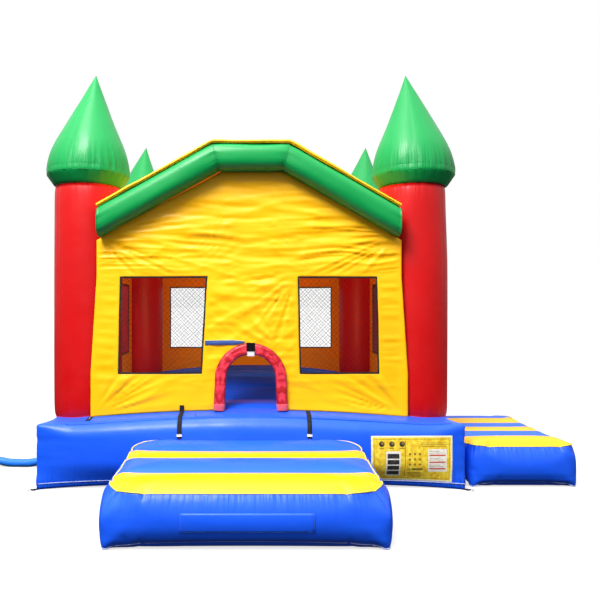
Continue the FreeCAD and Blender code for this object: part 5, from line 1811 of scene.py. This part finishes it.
def make_stage():
    ground = bpy.data.meshes.new("studio_floor")
    size = 300.0
    corners = [(-size, -size, 0), (size, -size, 0), (size, size, 0), (-size, size, 0)]
    ground.from_pydata(corners, [], [(0, 1, 2, 3)])
    floor = bpy.data.objects.new("studio_floor", ground)
    bpy.context.scene.collection.objects.link(floor)
    made = Nodes("studio_paint")
    made.finish((0.26, 0.26, 0.26, 1), 0.9, None, Specular_IOR_Level=0.0, Emission_Color=(1, 1, 1, 1),
                Emission_Strength=0.70)
    ground.materials.append(made.material)
    # the floor takes shadows, but throws no light up at the house
    floor.visible_diffuse = False
    floor.visible_glossy = False
    floor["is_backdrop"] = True
    make_world()
    for name, place, aim, size, power in (
        ("key", (-2.6, -7.0, 9.0), (0, -1.0, 1.2), 4.0, 1450.0),
        ("top", (-1.0, -1.5, 12.0), (0, -1.2, 0.0), 7.0, 260.0),
    ):
        light = bpy.data.lights.new(name, "AREA")
        light.size, light.energy = size, power
        lamp = bpy.data.objects.new(name, light)
        lamp.location = place
        lamp.rotation_euler = (Vector(aim) - Vector(place)).to_track_quat("-Z", "Y").to_euler()
        bpy.context.scene.collection.objects.link(lamp)
    # the warm glow that coloured cloth gives the room
    light = bpy.data.lights.new("glow", "AREA")
    light.energy, light.size, light.color = 26.0, 1.2, (1.0, 0.34, 0.12)
    lamp = bpy.data.objects.new("glow", light)
    lamp.location = (0, -0.9, 1.55)
    lamp.rotation_euler = (math.radians(118), 0, 0)
    lamp.visible_camera = False
    bpy.context.scene.collection.objects.link(lamp)
    bpy.context.scene.view_settings.view_transform = "Standard"


def make_world():
    """Soft light that is strongest overhead and dim from below, in front of plain white."""
    world = bpy.data.worlds.new("studio")
    bpy.context.scene.world = world
    world.use_nodes = True
    tree = world.node_tree
    direction = tree.nodes.new("ShaderNodeTexCoord")
    split = tree.nodes.new("ShaderNodeSeparateXYZ")
    height = tree.nodes.new("ShaderNodeMapRange")
    height.inputs["From Min"].default_value = -1.0
    ramp = tree.nodes.new("ShaderNodeValToRGB")
    levels = [(0.0, 0.02), (0.47, 0.02), (0.52, 0.22), (0.66, 0.34), (1.0, 1.0)]
    while len(ramp.color_ramp.elements) < len(levels):
        ramp.color_ramp.elements.new(0.5)
    for element, (position, level) in zip(ramp.color_ramp.elements, levels):
        element.position = position
        element.color = (level, level, level, 1)
    soft = tree.nodes["Background"]
    soft.inputs["Strength"].default_value = 2.2
    white = tree.nodes.new("ShaderNodeBackground")
    white.inputs["Color"].default_value = (1.0, 1.0, 1.0, 1)
    seen = tree.nodes.new("ShaderNodeLightPath")
    choose = tree.nodes.new("ShaderNodeMixShader")
    tree.links.new(direction.outputs["Generated"], split.inputs[0])
    tree.links.new(split.outputs["Z"], height.inputs["Value"])
    tree.links.new(height.outputs["Result"], ramp.inputs[0])
    tree.links.new(ramp.outputs["Color"], soft.inputs["Color"])
    tree.links.new(seen.outputs["Is Camera Ray"], choose.inputs[0])
    tree.links.new(soft.outputs[0], choose.inputs[1])
    tree.links.new(white.outputs[0], choose.inputs[2])
    tree.links.new(choose.outputs[0], tree.nodes["World Output"].inputs["Surface"])


def make_camera():
    """Eye height, 5.5 m in front of the base, level, with the house a little left of the middle."""
    lens = bpy.data.cameras.new("camera")
    lens.lens, lens.sensor_width = 36.0, 36.0
    lens.shift_x, lens.shift_y = 0.082, 0.008
    camera = bpy.data.objects.new("camera", lens)
    camera.location = (0.0, -7.49, 1.70)
    camera.rotation_euler = (math.radians(90), 0, 0)
    bpy.context.scene.collection.objects.link(camera)
    bpy.context.scene.camera = camera


make_camera()
make_tube()
make_tube_ends()
make_base()
make_base_trim()
make_floor()
make_baffles()
for order, (corner, sx, sy) in enumerate(CORNERS):
    make_column(f"column_{corner}_cover", sx, sy, 200 + 10 * order)
    make_cone(f"cone_{corner}_cover", sx, sy, 300 + 10 * order)
make_beam("roof_beam_front_cover", -1, 21)
make_beam("roof_beam_rear_cover", 1, 31)
make_eave("eave_beam_right_cover", 1, 41)
make_eave("eave_beam_left_cover", -1, 45)
make_canopy()
make_end_wall("wall_front_cloth", -1, True, 401)
make_end_wall("wall_rear_cloth", 1, False, 451)
make_side_wall("wall_right_cloth", 1, 501)
make_side_wall("wall_left_cloth", -1, 551)
make_windows()
make_door_band()
make_door_trim()
make_straps()
make_panel()
make_anchors()
make_zip()
make_pads()
make_vent()
finish_cad_pieces()
make_stage()

boxes = {"cad": CAD_BOX, "visual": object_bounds()}
{name: [list(corner) for corner in box] for name, box in boxes.items()}
